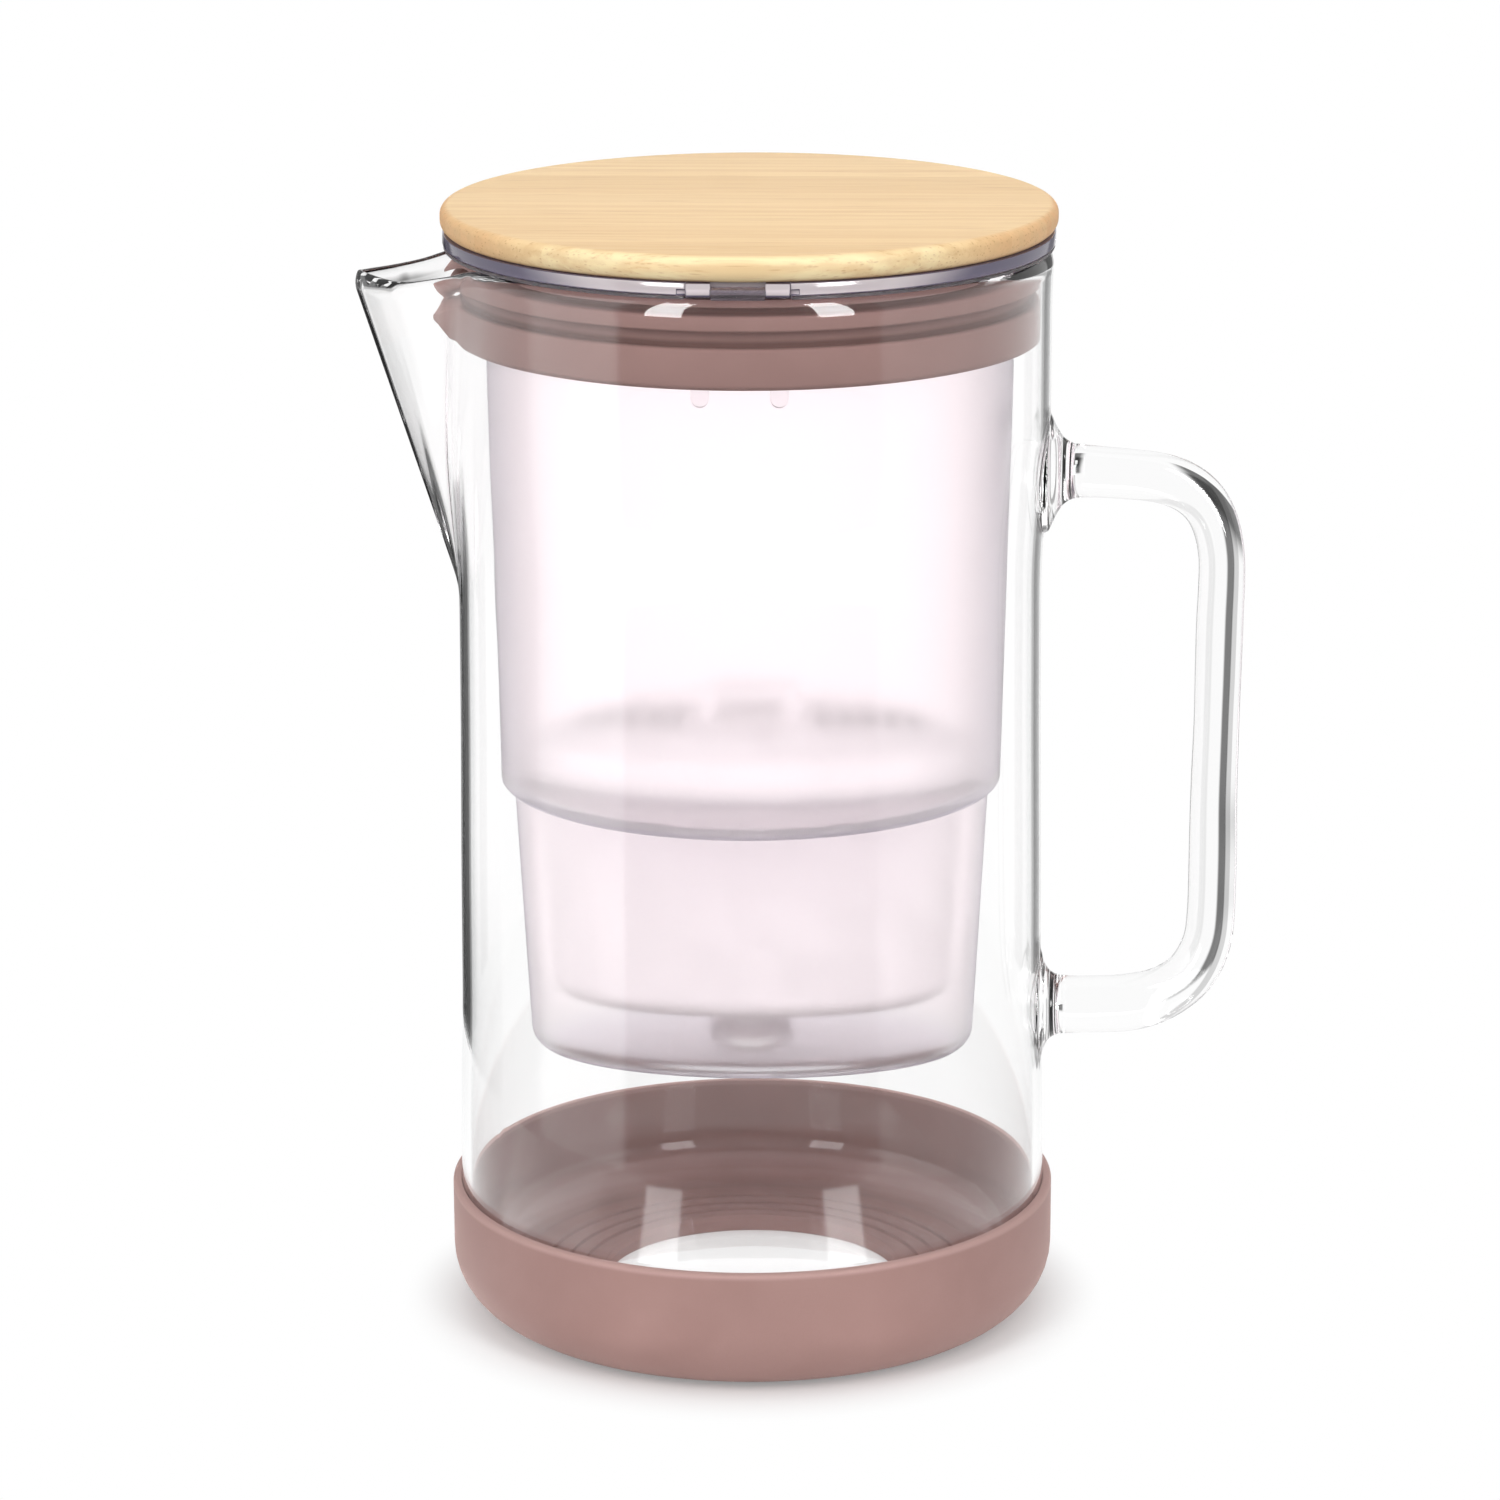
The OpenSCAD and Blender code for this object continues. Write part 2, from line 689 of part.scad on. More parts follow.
glass_jug();
glass_handle();
base_sleeve();
hopper();
sealing_ring();
hinge_bracket();
lid_ring();
bamboo_disc();
hinge_pin();
lid_screws();
cartridge_shell();
cartridge_cap();
cartridge_seal();
inlet_mesh();
filter_media();
outlet_mesh();
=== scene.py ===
# %% [markdown]
# # A glass water filter pitcher with a flip lid
# The pitcher is a borosilicate glass jug with a drawn spout and a fused glass handle. It stands in a
# silicone boot. A frosted hopper hangs in its mouth inside a silicone sealing ring and holds an oval
# filter cartridge. A bamboo board on a smoky clear plate closes it and flips on a small hinge.
# The solids of the object are loaded first as a fixed frame. Every piece below is built in the same
# place and at the same size, with the finer shapes and the finishes that the plain solids lack.

# %% The frame
import math

import bmesh
import bpy
import numpy as np
from mathutils import Matrix, Vector


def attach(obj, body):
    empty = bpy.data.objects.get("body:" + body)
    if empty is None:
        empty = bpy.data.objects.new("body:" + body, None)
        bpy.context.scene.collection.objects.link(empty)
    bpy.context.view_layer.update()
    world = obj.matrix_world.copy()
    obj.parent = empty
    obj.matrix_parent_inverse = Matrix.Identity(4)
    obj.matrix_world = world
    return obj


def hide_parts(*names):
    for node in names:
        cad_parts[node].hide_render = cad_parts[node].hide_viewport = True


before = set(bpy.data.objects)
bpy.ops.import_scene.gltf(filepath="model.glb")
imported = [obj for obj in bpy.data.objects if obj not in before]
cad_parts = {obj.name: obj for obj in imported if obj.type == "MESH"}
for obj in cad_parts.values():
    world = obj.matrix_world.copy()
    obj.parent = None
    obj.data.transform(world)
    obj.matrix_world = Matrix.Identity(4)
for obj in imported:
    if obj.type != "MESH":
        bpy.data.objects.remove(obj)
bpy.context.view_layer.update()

MM = 0.001
print("solids in the frame:", ", ".join(sorted(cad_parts)))

# %% [markdown]
# ## Writing node trees as sums
# A finish is easier to read as a sum than as a list of nodes and links. A wire is one value that
# travels through a tree. Adding or multiplying two wires puts the Math node there and returns its
# result. Every other node comes from one method, which takes the node's type, its settings and its
# sockets' values, so the same few lines serve materials and Geometry Nodes alike. Nodes that come
# back often have a short name of their own, such as noise, cells or steps.

# %% Wires and recipes
class Wire:
    """One value in a node tree, which can stand in a Python sum."""

    def __init__(self, recipe, socket):
        self.recipe, self.socket = recipe, socket

    def _sum(self, operation, first, second):
        return self.recipe.work_out(operation, first, second)

    def __add__(self, other):
        return self._sum("ADD", self, other)

    def __radd__(self, other):
        return self._sum("ADD", other, self)

    def __sub__(self, other):
        return self._sum("SUBTRACT", self, other)

    def __rsub__(self, other):
        return self._sum("SUBTRACT", other, self)

    def __mul__(self, other):
        return self._sum("MULTIPLY", self, other)

    def __rmul__(self, other):
        return self._sum("MULTIPLY", other, self)

    def __truediv__(self, other):
        return self._sum("DIVIDE", self, other)

    def above(self, other):
        return self._sum("GREATER_THAN", self, other)


class Recipe:
    """A node tree that is written one node at a time."""

    def __init__(self, tree):
        self.tree = tree

    def node(self, kind, settings=None, values=None, out=0):
        made = self.tree.nodes.new(kind)
        for name, value in (settings or {}).items():
            setattr(made, name, value)
        for name, value in (values or {}).items():
            if isinstance(value, Wire):
                self.tree.links.new(value.socket, made.inputs[name])
            else:
                made.inputs[name].default_value = value
        return Wire(self, made.outputs[out]) if len(made.outputs) else None

    def work_out(self, operation, *values):
        """One step of arithmetic by its name, such as FLOOR."""
        return self.node("ShaderNodeMath", {"operation": operation}, dict(enumerate(values)))

    def steps(self, value, low, high, first=0.0, last=1.0, smooth=True):
        """value carried from low..high to first..last, and held there outside."""
        kind = "SMOOTHSTEP" if smooth else "LINEAR"
        return self.node("ShaderNodeMapRange", {"interpolation_type": kind},
                         {"Value": value, "From Min": low, "From Max": high, "To Min": first, "To Max": last})

    def noise(self, spot, scale, detail=2.0):
        """A cloudy pattern: the larger the scale, the finer the clouds."""
        return self.node("ShaderNodeTexNoise", {}, {"Vector": spot, "Scale": scale, "Detail": detail})

    def bump(self, height, strength, distance):
        """A relief that only the light feels, as if it were distance metres deep."""
        return self.node("ShaderNodeBump", {}, {"Height": height, "Strength": strength, "Distance": distance})

    def between(self, value, low, high, soft):
        """1 between low and high, with soft ends."""
        return self.steps(value, low - soft, low + soft) * (1 - self.steps(value, high - soft, high + soft))

    def axis(self, vector, letter):
        """One coordinate of a vector."""
        return self.node("ShaderNodeSeparateXYZ", {}, {0: vector}, out=letter)

    def size(self, value):
        """A value without its sign."""
        return self.work_out("ABSOLUTE", value)

    def length(self, vector):
        return self.node("ShaderNodeVectorMath", {"operation": "LENGTH"}, {0: vector}, out="Value")

    def from_axis(self, spot):
        """How far a spot is from the upright axis."""
        return self.length(self.node("ShaderNodeVectorMath", {"operation": "MULTIPLY"}, {0: spot, 1: (1, 1, 0)}))

    def blend(self, share, first, second):
        """Two colours mixed by a share."""
        return self.node("ShaderNodeMix", {"data_type": "RGBA"}, {0: share, 6: first, 7: second}, out=2)

    def grey(self, value):
        """A colour whose red, green and blue are one value."""
        return self.node("ShaderNodeCombineColor", {}, {"Red": value, "Green": value, "Blue": value})

    def cells(self, spot, scale, out=0):
        """A pattern of cells: how far each point is from its cell's middle, or the cell's own colour."""
        return self.node("ShaderNodeTexVoronoi", {"feature": "F1"},
                         {"Vector": spot, "Scale": scale, "Randomness": 1.0}, out=out)

    def chance(self, value):
        """A random share, always the same one for the same value."""
        return self.node("ShaderNodeTexWhiteNoise", {"noise_dimensions": "1D"}, {"W": value})

    def edge_on(self, blend):
        """0 where a surface faces the eye, 1 where the eye looks along it."""
        return self.node("ShaderNodeLayerWeight", {}, {"Blend": blend}, out="Facing")

    def ray(self, question):
        """What is known about a ray of light, such as whether it comes from the camera."""
        return self.node("ShaderNodeLightPath", out=question)


def paint(red, green, blue):
    """A colour given as screen values from 0 to 255, as the renderer needs it."""
    def linear(value):
        share = value / 255
        return share / 12.92 if share <= 0.04045 else ((share + 0.055) / 1.055) ** 2.4
    return (linear(red), linear(green), linear(blue), 1.0)


print("a middle grey of 128 on the screen is", round(paint(128, 128, 128)[0], 3), "in light")

# %% [markdown]
# ## Finishes with a grain
# Each finish starts the same way: a material with one Principled shader, and the place of a point on
# the piece in millimetres. Patterns are made from that place, so they have a real size and stay on
# the piece when it moves.

# %% Starting a finish
def new_finish(name):
    """An empty material and the recipe that fills it."""
    finish = bpy.data.materials.new(name)
    finish.use_nodes = True
    finish.node_tree.nodes.clear()
    return finish, Recipe(finish.node_tree)


def place_in_mm(recipe, stretch=(1, 1, 1)):
    """The point on the piece, in millimetres, stretched along the axes."""
    spot = recipe.node("ShaderNodeTexCoord", out="Object")
    scale = tuple(1000 * s for s in stretch)
    return recipe.node("ShaderNodeMapping", {}, {"Vector": spot, "Scale": scale})


def close_finish(recipe, values, light_through=None):
    """Ends a recipe with a Principled shader. Clear pieces let the lamps' light through in a colour."""
    shader = recipe.node("ShaderNodeBsdfPrincipled", {}, values)
    if light_through is not None:
        shadow = recipe.ray("Is Shadow Ray")
        clear = recipe.node("ShaderNodeBsdfTransparent", {}, {"Color": light_through})
        shader = recipe.node("ShaderNodeMixShader", {}, {0: shadow, 1: shader, 2: clear})
    recipe.node("ShaderNodeOutputMaterial", {}, {"Surface": shader})


print("a pattern of scale 1 changes about once in every millimetre of a piece")

# %% [markdown]
# ## Clear glass
# Borosilicate glass is nearly colourless, so a jug is seen by its edges: there the eye looks along
# the wall through a lot of glass, and the light is bent from far off to the side. A Principled
# shader with full transmission does this on a wall of true thickness. A grey at grazing angles
# stands for the longer way through the wall. Lamps shine straight through, because light bent by a
# solid wall would need far more samples to reach what stands inside.

# %% The glass finish
def make_glass():
    finish, recipe = new_finish("borosilicate glass")
    grazing = recipe.edge_on(0.32)
    colour = recipe.blend(recipe.steps(grazing, 0.52, 0.95), paint(254, 254, 254), paint(186, 190, 192))
    close_finish(recipe, {
        "Base Color": colour, "Roughness": 0.0, "IOR": 1.47, "Transmission Weight": 1.0,
        "Specular Tint": (0.7, 0.7, 0.7, 1)},
        light_through=paint(252, 252, 252))
    return finish


clear_glass = make_glass()
print("glass bends light by an index of 1.47")

# %% [markdown]
# ## Silicone
# The boot and the sealing ring are moulded silicone in a dusty rose. The surface is matt with a soft
# bloom: very fine grain, slightly uneven colour, and a lighter tone where it is seen edge-on, which
# the sheen gives. The boot's lip is painted a little paler, a painted highlight where its bevel turns
# up towards the light. Little light reaches the ring's two narrow grooves, so they are painted
# darker, most of all along their floors.

# %% The silicone finish
# Heights and radii in millimetres, each with the length over which the colour changes.
LIP_HIGHLIGHT_FROM, LIP_HIGHLIGHT_TO = (27.4, 28.4), (29.5, 30)
BAND_TOP, LOW_FLOOR_TO = (229.6, 230.2), (230.8, 232.0)
TOP_FLOOR_FROM, TOP_FLOOR_TO, GROOVE_DEPTH = (236.4, 236.9), (237.2, 238.0), (61.1, 62.9)


def make_silicone():
    finish, recipe = new_finish("dusty rose silicone")
    spot = place_in_mm(recipe)
    cloud = recipe.noise(spot, 0.05, 3.0)
    grain = recipe.noise(spot, 2.6)
    tone = recipe.blend(recipe.steps(cloud, 0.3, 0.7), paint(166, 131, 125), paint(172, 137, 131))
    tone = recipe.blend(recipe.steps(grain, 0.35, 0.75) * 0.12, tone, paint(158, 122, 116))
    high = recipe.axis(spot, "Z")
    # Painted highlight: the boot's lip is painted paler where its bevel turns up towards the light.
    lip = recipe.steps(high, *LIP_HIGHLIGHT_FROM) * (1 - recipe.steps(high, *LIP_HIGHLIGHT_TO))
    tone = recipe.blend(lip * 0.7, tone, paint(196, 162, 156))
    above_band = recipe.steps(high, *BAND_TOP)
    low_floor = above_band * (1 - recipe.steps(high, *LOW_FLOOR_TO))
    top_floor = recipe.steps(high, *TOP_FLOOR_FROM) * (1 - recipe.steps(high, *TOP_FLOOR_TO))
    inside = 1 - recipe.steps(recipe.from_axis(spot), *GROOVE_DEPTH)
    groove = (above_band * 0.22 + low_floor * 0.6 + top_floor * 0.4) * inside
    tone = recipe.blend(groove, tone, paint(98, 68, 62))
    bump = recipe.bump(grain, 0.05, 0.00004)
    close_finish(recipe, {
        "Base Color": tone, "Roughness": 0.52 + 0.08 * cloud, "IOR": 1.41, "Normal": bump,
        "Specular IOR Level": 0.3, "Sheen Weight": 0.24, "Sheen Roughness": 0.45,
        "Sheen Tint": paint(240, 214, 208)})
    return finish


rose_silicone = make_silicone()
print("silicone grain: about", round(1 / 2.6, 2), "mm across")

# %% [markdown]
# ## Frosted and smoky plastic
# The hopper is a milky copolyester with a breath of pink and lilac, which gathers where the eye
# looks along the wall, in the corner of the shoulder and in the foot. Light passes, but a fine frost
# on the skin blurs what is behind, so the cartridge shows as a soft shape. The plate under the
# bamboo is the same plastic without frost and with a smoky tint, so it keeps its reflections.

# %% The two clear plastics
def make_frosted():
    finish, recipe = new_finish("frosted plastic")
    spot = place_in_mm(recipe)
    high = recipe.axis(spot, "Z")
    frost = recipe.noise(spot, 3.0)
    edge = recipe.edge_on(0.5)
    shoulder = recipe.steps(high, 119.0, 121.0) * (1 - recipe.steps(high, 125.5, 127.0))
    seen_along = recipe.steps(edge, 0.5, 1.0) * (1 - shoulder)
    tone = recipe.blend(seen_along, paint(255, 252, 253), paint(242, 234, 247))
    corner = recipe.steps(high, 122.0, 122.6) * (1 - recipe.steps(high, 123.3, 124.0))
    foot = 1 - recipe.steps(high, 59.6, 61.2)
    tone = recipe.blend(corner * 0.24 + foot * 0.24, tone, paint(196, 190, 222))
    bump = recipe.bump(frost, 0.05, 0.00005)
    close_finish(recipe, {
        "Base Color": tone, "Roughness": 0.26 + 0.06 * frost, "IOR": 1.26, "Transmission Weight": 0.95,
        "Specular Tint": (0.5, 0.5, 0.5, 1), "Normal": bump},
        light_through=paint(253, 251, 253))
    return finish


def make_smoky():
    finish, recipe = new_finish("smoky clear plastic")
    spot = place_in_mm(recipe)
    swirl = recipe.noise(spot, 0.08)
    edge = recipe.edge_on(0.5)
    tone = recipe.blend(swirl, paint(248, 234, 238), paint(255, 245, 247))
    tone = recipe.blend(recipe.steps(edge, 0.12, 0.34), tone, paint(120, 112, 138))
    close_finish(recipe, {
        "Base Color": tone, "Roughness": 0.06 + 0.05 * swirl, "IOR": 1.50, "Transmission Weight": 0.34},
        light_through=paint(170, 165, 180))
    return finish


def make_bracket_plastic():
    finish, recipe = new_finish("clear bracket plastic")
    spot = place_in_mm(recipe)
    swirl = recipe.noise(spot, 0.15)
    high = recipe.axis(spot, "Z")
    # Painted shade: the bracket is painted darker towards its top, where it stands under the lid.
    tone = recipe.blend(recipe.steps(high, 236, 241), paint(254, 253, 254), paint(214, 204, 212))
    close_finish(recipe, {
        "Base Color": tone, "Roughness": 0.08 + 0.06 * swirl, "IOR": 1.45, "Transmission Weight": 0.94},
        light_through=paint(240, 236, 240))
    return finish


frosted_plastic = make_frosted()
smoky_plastic = make_smoky()
bracket_plastic = make_bracket_plastic()
print("clear plastics ready")

# %% [markdown]
# ## Bamboo
# The board is glued from slim bamboo strips that lie side by side. Seen from above, the strips are
# straight bands of slightly different honey tones with long fine fibres and wider darker veins.
# At the two ends the fibres are cut through and show as dots.
# One pattern does both: it is stretched very long along the strips, so a face along the fibres shows
# lines, and a face across them shows specks.

# %% The bamboo finish
STRIP_WIDTH = 17.0


def make_bamboo():
    finish, recipe = new_finish("bamboo")
    spot = place_in_mm(recipe)
    along = recipe.axis(spot, "X")
    across = recipe.axis(spot, "Y")
    wavy = recipe.noise(place_in_mm(recipe, (0.01, 0.01, 0.01)), 1.0, 1.0)
    strip = recipe.work_out("FLOOR", (across + 3.0 * wavy) / STRIP_WIDTH)
    shade = recipe.chance(strip + 3.7)
    fibre = recipe.node("ShaderNodeTexNoise", {}, {
        "Vector": place_in_mm(recipe, (0.012, 1.0, 1.0)), "Scale": 1.5, "Detail": 4.0, "Roughness": 0.62})
    vein = recipe.noise(place_in_mm(recipe, (0.02, 1.0, 1.0)), 0.35)
    dots = recipe.cells(place_in_mm(recipe, (0.03, 1.0, 1.0)), 1.25)
    tone = recipe.blend(shade, paint(230, 196, 146), paint(241, 210, 162))
    rim = recipe.steps(recipe.from_axis(spot), 64.6, 66.3)
    ends = recipe.steps(recipe.size(along), 34, 62)
    end_shade = recipe.chance(strip * 1.7 + 11.3)
    end_tone = recipe.blend(end_shade, paint(220, 154, 94), paint(250, 216, 162))
    # Painted light: along the front and back the board's edge is painted paler than its top, as if lit more
    # strongly. At the two ends it takes the orange of the end grain.
    painted_light_side_tone = recipe.blend(end_shade, paint(252, 228, 176), paint(255, 238, 192))
    end_grain_and_lit_edge_tone = recipe.blend(ends, painted_light_side_tone, end_tone)
    tone = recipe.blend(rim * 0.9, tone, end_grain_and_lit_edge_tone)
    tone = recipe.blend(recipe.steps(vein, 0.35, 0.7) * 0.6, tone, paint(226, 187, 135))
    tone = recipe.blend(recipe.steps(fibre, 0.50, 0.78) * 0.55, tone, paint(214, 170, 116))
    speck = (1 - recipe.steps(dots, 0.08, 0.30)) * (0.34 + 0.24 * ends)
    tone = recipe.blend(speck, tone, paint(184, 128, 76))
    bump = recipe.bump(fibre * 0.7 + dots * 0.3, 0.12, 0.0001)
    close_finish(recipe, {
        "Base Color": tone, "Roughness": 0.42 + 0.16 * fibre, "IOR": 1.48, "Normal": bump})
    return finish


bamboo = make_bamboo()
print("bamboo strips:", STRIP_WIDTH, "mm wide")

# %% [markdown]
# ## The small finishes
# The hinge pin and the lid's screws are stainless steel with fine turning marks. The cartridge is
# white polypropylene, slightly uneven as thin mouldings are, with a pale grey silicone seal, woven
# screens and dark grains inside.

# %% Steel, white plastic, seal, screen and grains
def make_steel():
    finish, recipe = new_finish("stainless steel")
    marks = recipe.noise(place_in_mm(recipe, (1.0, 1.0, 12.0)), 1.2)
    bump = recipe.bump(marks, 0.1, 0.00003)
    tone = recipe.blend(marks, paint(196, 197, 200), paint(214, 214, 216))
    close_finish(recipe, {
        "Base Color": tone, "Metallic": 1.0, "Roughness": 0.22 + 0.14 * marks, "Normal": bump})
    return finish


def make_moulded(name, low, high, roughness, grain_size):
    """A plain moulded surface: two close tones, a fine grain and an even gloss."""
    finish, recipe = new_finish(name)
    spot = place_in_mm(recipe)
    cloud = recipe.noise(spot, 0.12, 3.0)
    grain = recipe.noise(spot, 1 / grain_size)
    tone = recipe.blend(recipe.steps(cloud, 0.3, 0.7), low, high)
    bump = recipe.bump(grain, 0.12, 0.00006)
    close_finish(recipe, {
        "Base Color": tone, "Roughness": roughness + 0.08 * grain, "IOR": 1.49, "Normal": bump})
    return finish


def make_grains():
    finish, recipe = new_finish("filter grains")
    cells = recipe.cells(place_in_mm(recipe), 0.9)
    pick = recipe.cells(place_in_mm(recipe), 0.9, out=1)
    mask = recipe.node("ShaderNodeSeparateColor", {}, {0: pick}).above(0.7)
    tone = recipe.blend(mask, paint(38, 37, 36), paint(206, 188, 150))
    bump = recipe.bump(1 - cells, 0.7, 0.0006)
    close_finish(recipe, {
        "Base Color": tone, "Roughness": 0.62 + 0.1 * cells, "Normal": bump})
    return finish


steel = make_steel()
white_plastic = make_moulded("white plastic", paint(240, 238, 238), paint(247, 245, 245), 0.40, 0.5)
grey_silicone = make_moulded("grey silicone", paint(228, 229, 231), paint(236, 237, 239), 0.52, 0.35)
screen_weave = make_moulded("woven screen", paint(214, 214, 208), paint(226, 226, 220), 0.45, 0.2)
grains = make_grains()
print(len(bpy.data.materials), "finishes made")

# %% [markdown]
# ## From outlines to pieces
# Nearly every part of this object is round or oval, so a piece is drawn as one outline through its
# wall and carried round the axis. Blender's Screw or Spin tools could turn it too. A grid written
# in code also lets the outline change on its way round, which the spout and the ring's beaks need.
# Corners are given with a radius and become short arcs, as a mould or a flame rounds them.

# %% Outlines, skins and pieces
def soften(corners, closed=True, steps=5):
    """The line through corners (across, up, radius), with an arc at each corner that has a radius."""
    line, count = [], len(corners)
    for i, (x, z, radius) in enumerate(corners):
        here = np.array([x, z], float)
        if radius == 0 or (not closed and i in (0, count - 1)):
            line.append(here)
            continue
        back = np.array(corners[i - 1][:2], float) - here
        ahead = np.array(corners[(i + 1) % count][:2], float) - here
        room = 0.49 * min(np.hypot(*back), np.hypot(*ahead))
        back, ahead = back / np.hypot(*back), ahead / np.hypot(*ahead)
        half = math.acos(float(np.clip(back @ ahead, -1, 1))) / 2
        if half > 1.5:
            line.append(here)
            continue
        reach = min(radius / math.tan(half), room)
        middle = here + (back + ahead) / np.hypot(*(back + ahead)) * reach / math.cos(half)
        first, last = here + back * reach - middle, here + ahead * reach - middle
        start = math.atan2(first[1], first[0])
        sweep = (math.atan2(last[1], last[0]) - start + math.pi) % (2 * math.pi) - math.pi
        size = np.hypot(*first)
        for k in range(steps + 1):
            a = start + sweep * k / steps
            line.append(middle + size * np.array([math.cos(a), math.sin(a)]))
    return np.array(line)


def skin(rings, closed=True):
    """Points and four-sided faces between neighbouring rings; each ring closes on itself."""
    rows, columns = len(rings), len(rings[0])
    here = np.arange(rows * columns).reshape(rows, columns)
    if closed:
        first, second = here, np.roll(here, -1, axis=0)
    else:
        first, second = here[:-1], here[1:]
    quads = np.stack([first, np.roll(first, -1, 1), np.roll(second, -1, 1), second], -1)
    return np.concatenate(rings), quads.reshape(-1, 4).tolist()


def ovals(line, width, count=240):
    """Rings for a line (half length, height), whose half width is width(half length, height)."""
    around = np.arange(count) * 2 * math.pi / count
    return [np.stack([r * np.cos(around), width(r, z) * np.sin(around), np.full(count, z)], 1) for r, z in line]


def as_long(r, z):
    """The half width of a round ring, which is the same as its half length."""
    return r


def turned(outline, count=240):
    """The rings of an outline (radius, height) carried round the axis."""
    return ovals(outline, as_long, count)


def show(name, data):
    """Stands a mesh, a lamp or a lens in the scene."""
    shown = bpy.data.objects.new(name, data)
    bpy.context.scene.collection.objects.link(shown)
    return shown


def settle(mesh, sharp):
    """Merges doubles, turns the faces outwards and shades smoothly between sharp edges."""
    work = bmesh.new()
    work.from_mesh(mesh)
    bmesh.ops.remove_doubles(work, verts=work.verts, dist=2e-7)
    bmesh.ops.dissolve_degenerate(work, edges=work.edges, dist=1e-8)
    bmesh.ops.recalc_face_normals(work, faces=work.faces)
    work.to_mesh(mesh)
    work.free()
    mesh.shade_smooth()
    mesh.set_sharp_from_angle(angle=math.radians(sharp))


def make_piece(name, points, faces, finish, sharp=35):
    """A piece from points in millimetres."""
    mesh = bpy.data.meshes.new(name)
    mesh.from_pydata((np.asarray(points) * MM).tolist(), [], faces)
    settle(mesh, sharp)
    mesh.materials.append(finish)
    return show(name, mesh)


def block(name, low, high, finish):
    """A plain box that is used as a cutter or as a part of a larger piece."""
    corners = [(x, y, z) for x in (low[0], high[0]) for y in (low[1], high[1]) for z in (low[2], high[2])]
    sides = [(0, 1, 3, 2), (4, 6, 7, 5), (0, 4, 5, 1), (2, 3, 7, 6), (0, 2, 6, 4), (1, 5, 7, 3)]
    return make_piece(name, corners, sides, finish, 30)


def plain_mesh(piece):
    """Freezes a piece's modifiers into its mesh."""
    ready = piece.evaluated_get(bpy.context.evaluated_depsgraph_get())
    mesh = bpy.data.meshes.new_from_object(ready)
    piece.modifiers.clear()
    old, piece.data = piece.data, mesh
    bpy.data.meshes.remove(old)
    return piece


def carve(piece, tools, operation="DIFFERENCE", sharp=35):
    """Cuts the tools out of a piece, or fuses them to it, and removes them."""
    for tool in tools:
        step = piece.modifiers.new("carve", "BOOLEAN")
        step.operation, step.solver, step.object = operation, "EXACT", tool
        plain_mesh(piece)
        bpy.data.objects.remove(tool)
    settle(piece.data, sharp)
    if not piece.data.polygons:
        raise ValueError(piece.name + " was carved away")
    return piece


def belongs(piece, body, slot, *nodes):
    """Says what the piece moves with and which solids it stands for. The slot argument is not used."""
    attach(piece, body)
    if nodes:
        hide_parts(*nodes)
    size = [round(1000 * s, 1) for s in piece.dimensions]
    print(piece.name, "is", " x ".join(map(str, size)), "mm, faces:", len(piece.data.polygons))
    return piece


# %% [markdown]
# ## Growing repeated shapes with Geometry Nodes
# The screws and the cap's slits repeat one shape, and the handle's rod follows a path. A Geometry
# Nodes tree with named inputs states such a rule once. Its result is then frozen into a plain mesh.

# %% Trees that grow a mesh
def new_tree(name, inputs):
    """A Geometry Nodes tree with named inputs: returns its recipe and a wire for each input."""
    tree = bpy.data.node_groups.new(name, "GeometryNodeTree")
    tree.interface.new_socket("Geometry", in_out="INPUT", socket_type="NodeSocketGeometry")
    for label, kind in inputs:
        tree.interface.new_socket(label, in_out="INPUT", socket_type="NodeSocket" + kind)
    tree.interface.new_socket("Geometry", in_out="OUTPUT", socket_type="NodeSocketGeometry")
    recipe = Recipe(tree)
    entry = tree.nodes.new("NodeGroupInput")
    return recipe, {socket.name: Wire(recipe, socket) for socket in entry.outputs if socket.name}


def end_tree(recipe, shape, finish):
    """Makes the copies real, gives them their finish and ends the tree."""
    real = recipe.node("GeometryNodeRealizeInstances", {}, {"Geometry": shape})
    dressed = recipe.node("GeometryNodeSetMaterial", {}, {"Geometry": real, "Material": finish})
    recipe.node("NodeGroupOutput", {}, {"Geometry": dressed})


def grow(name, recipe, values, start=None, sharp=35):
    """Runs a tree with its inputs set and returns the plain piece."""
    piece = show(name, start or bpy.data.meshes.new(name))
    step = piece.modifiers.new("grow", "NODES")
    step.node_group = recipe.tree
    for item in recipe.tree.interface.items_tree:
        if item.in_out == "INPUT" and item.name in values:
            step[item.identifier] = values[item.name]
    plain_mesh(piece)
    settle(piece.data, sharp)
    return piece


print("ready to build")

# %% [markdown]
# ## The glass jug
# A glassworker blows the jug, reheats one side of its mouth and draws the spout out and down. The
# wall is one outline carried round the axis. Near the spout each point moves outwards by a rule: the
# ridge is a straight line from the foot of the spout to the tip, and every height shows the same
# pointed plan, narrower towards the foot. The inner wall is the outer wall moved inwards by the
# thickness of the glass, square to the surface, so the wall is even everywhere, also in the spout.

# %% The wall's outline
RIM_Z, BEAD_DROP, GLASS_T = 240.6, 4.2, 2.2
NECK_R, WAIST_R, FOOT_R = 65.5, 63.8, 65.4
FLOOR_Z, CORNER = 3.0, 12.0
SPOUT_FOOT_Z, SPOUT_REACH = 164.0, 86.2


def wall_radius(z):
    """Outer radius of the glass wall: a slow taper, a slim waist and a wider neck."""
    taper = np.interp(z, [45, 70, 102, 134, 166], [FOOT_R, 64.6, 64.4, 64.0, WAIST_R])
    rise = np.clip((np.asarray(z, float) - 166) / 36, 0, 1)
    return taper + (1 - np.cos(np.pi * rise)) / 2 * (NECK_R - WAIST_R)


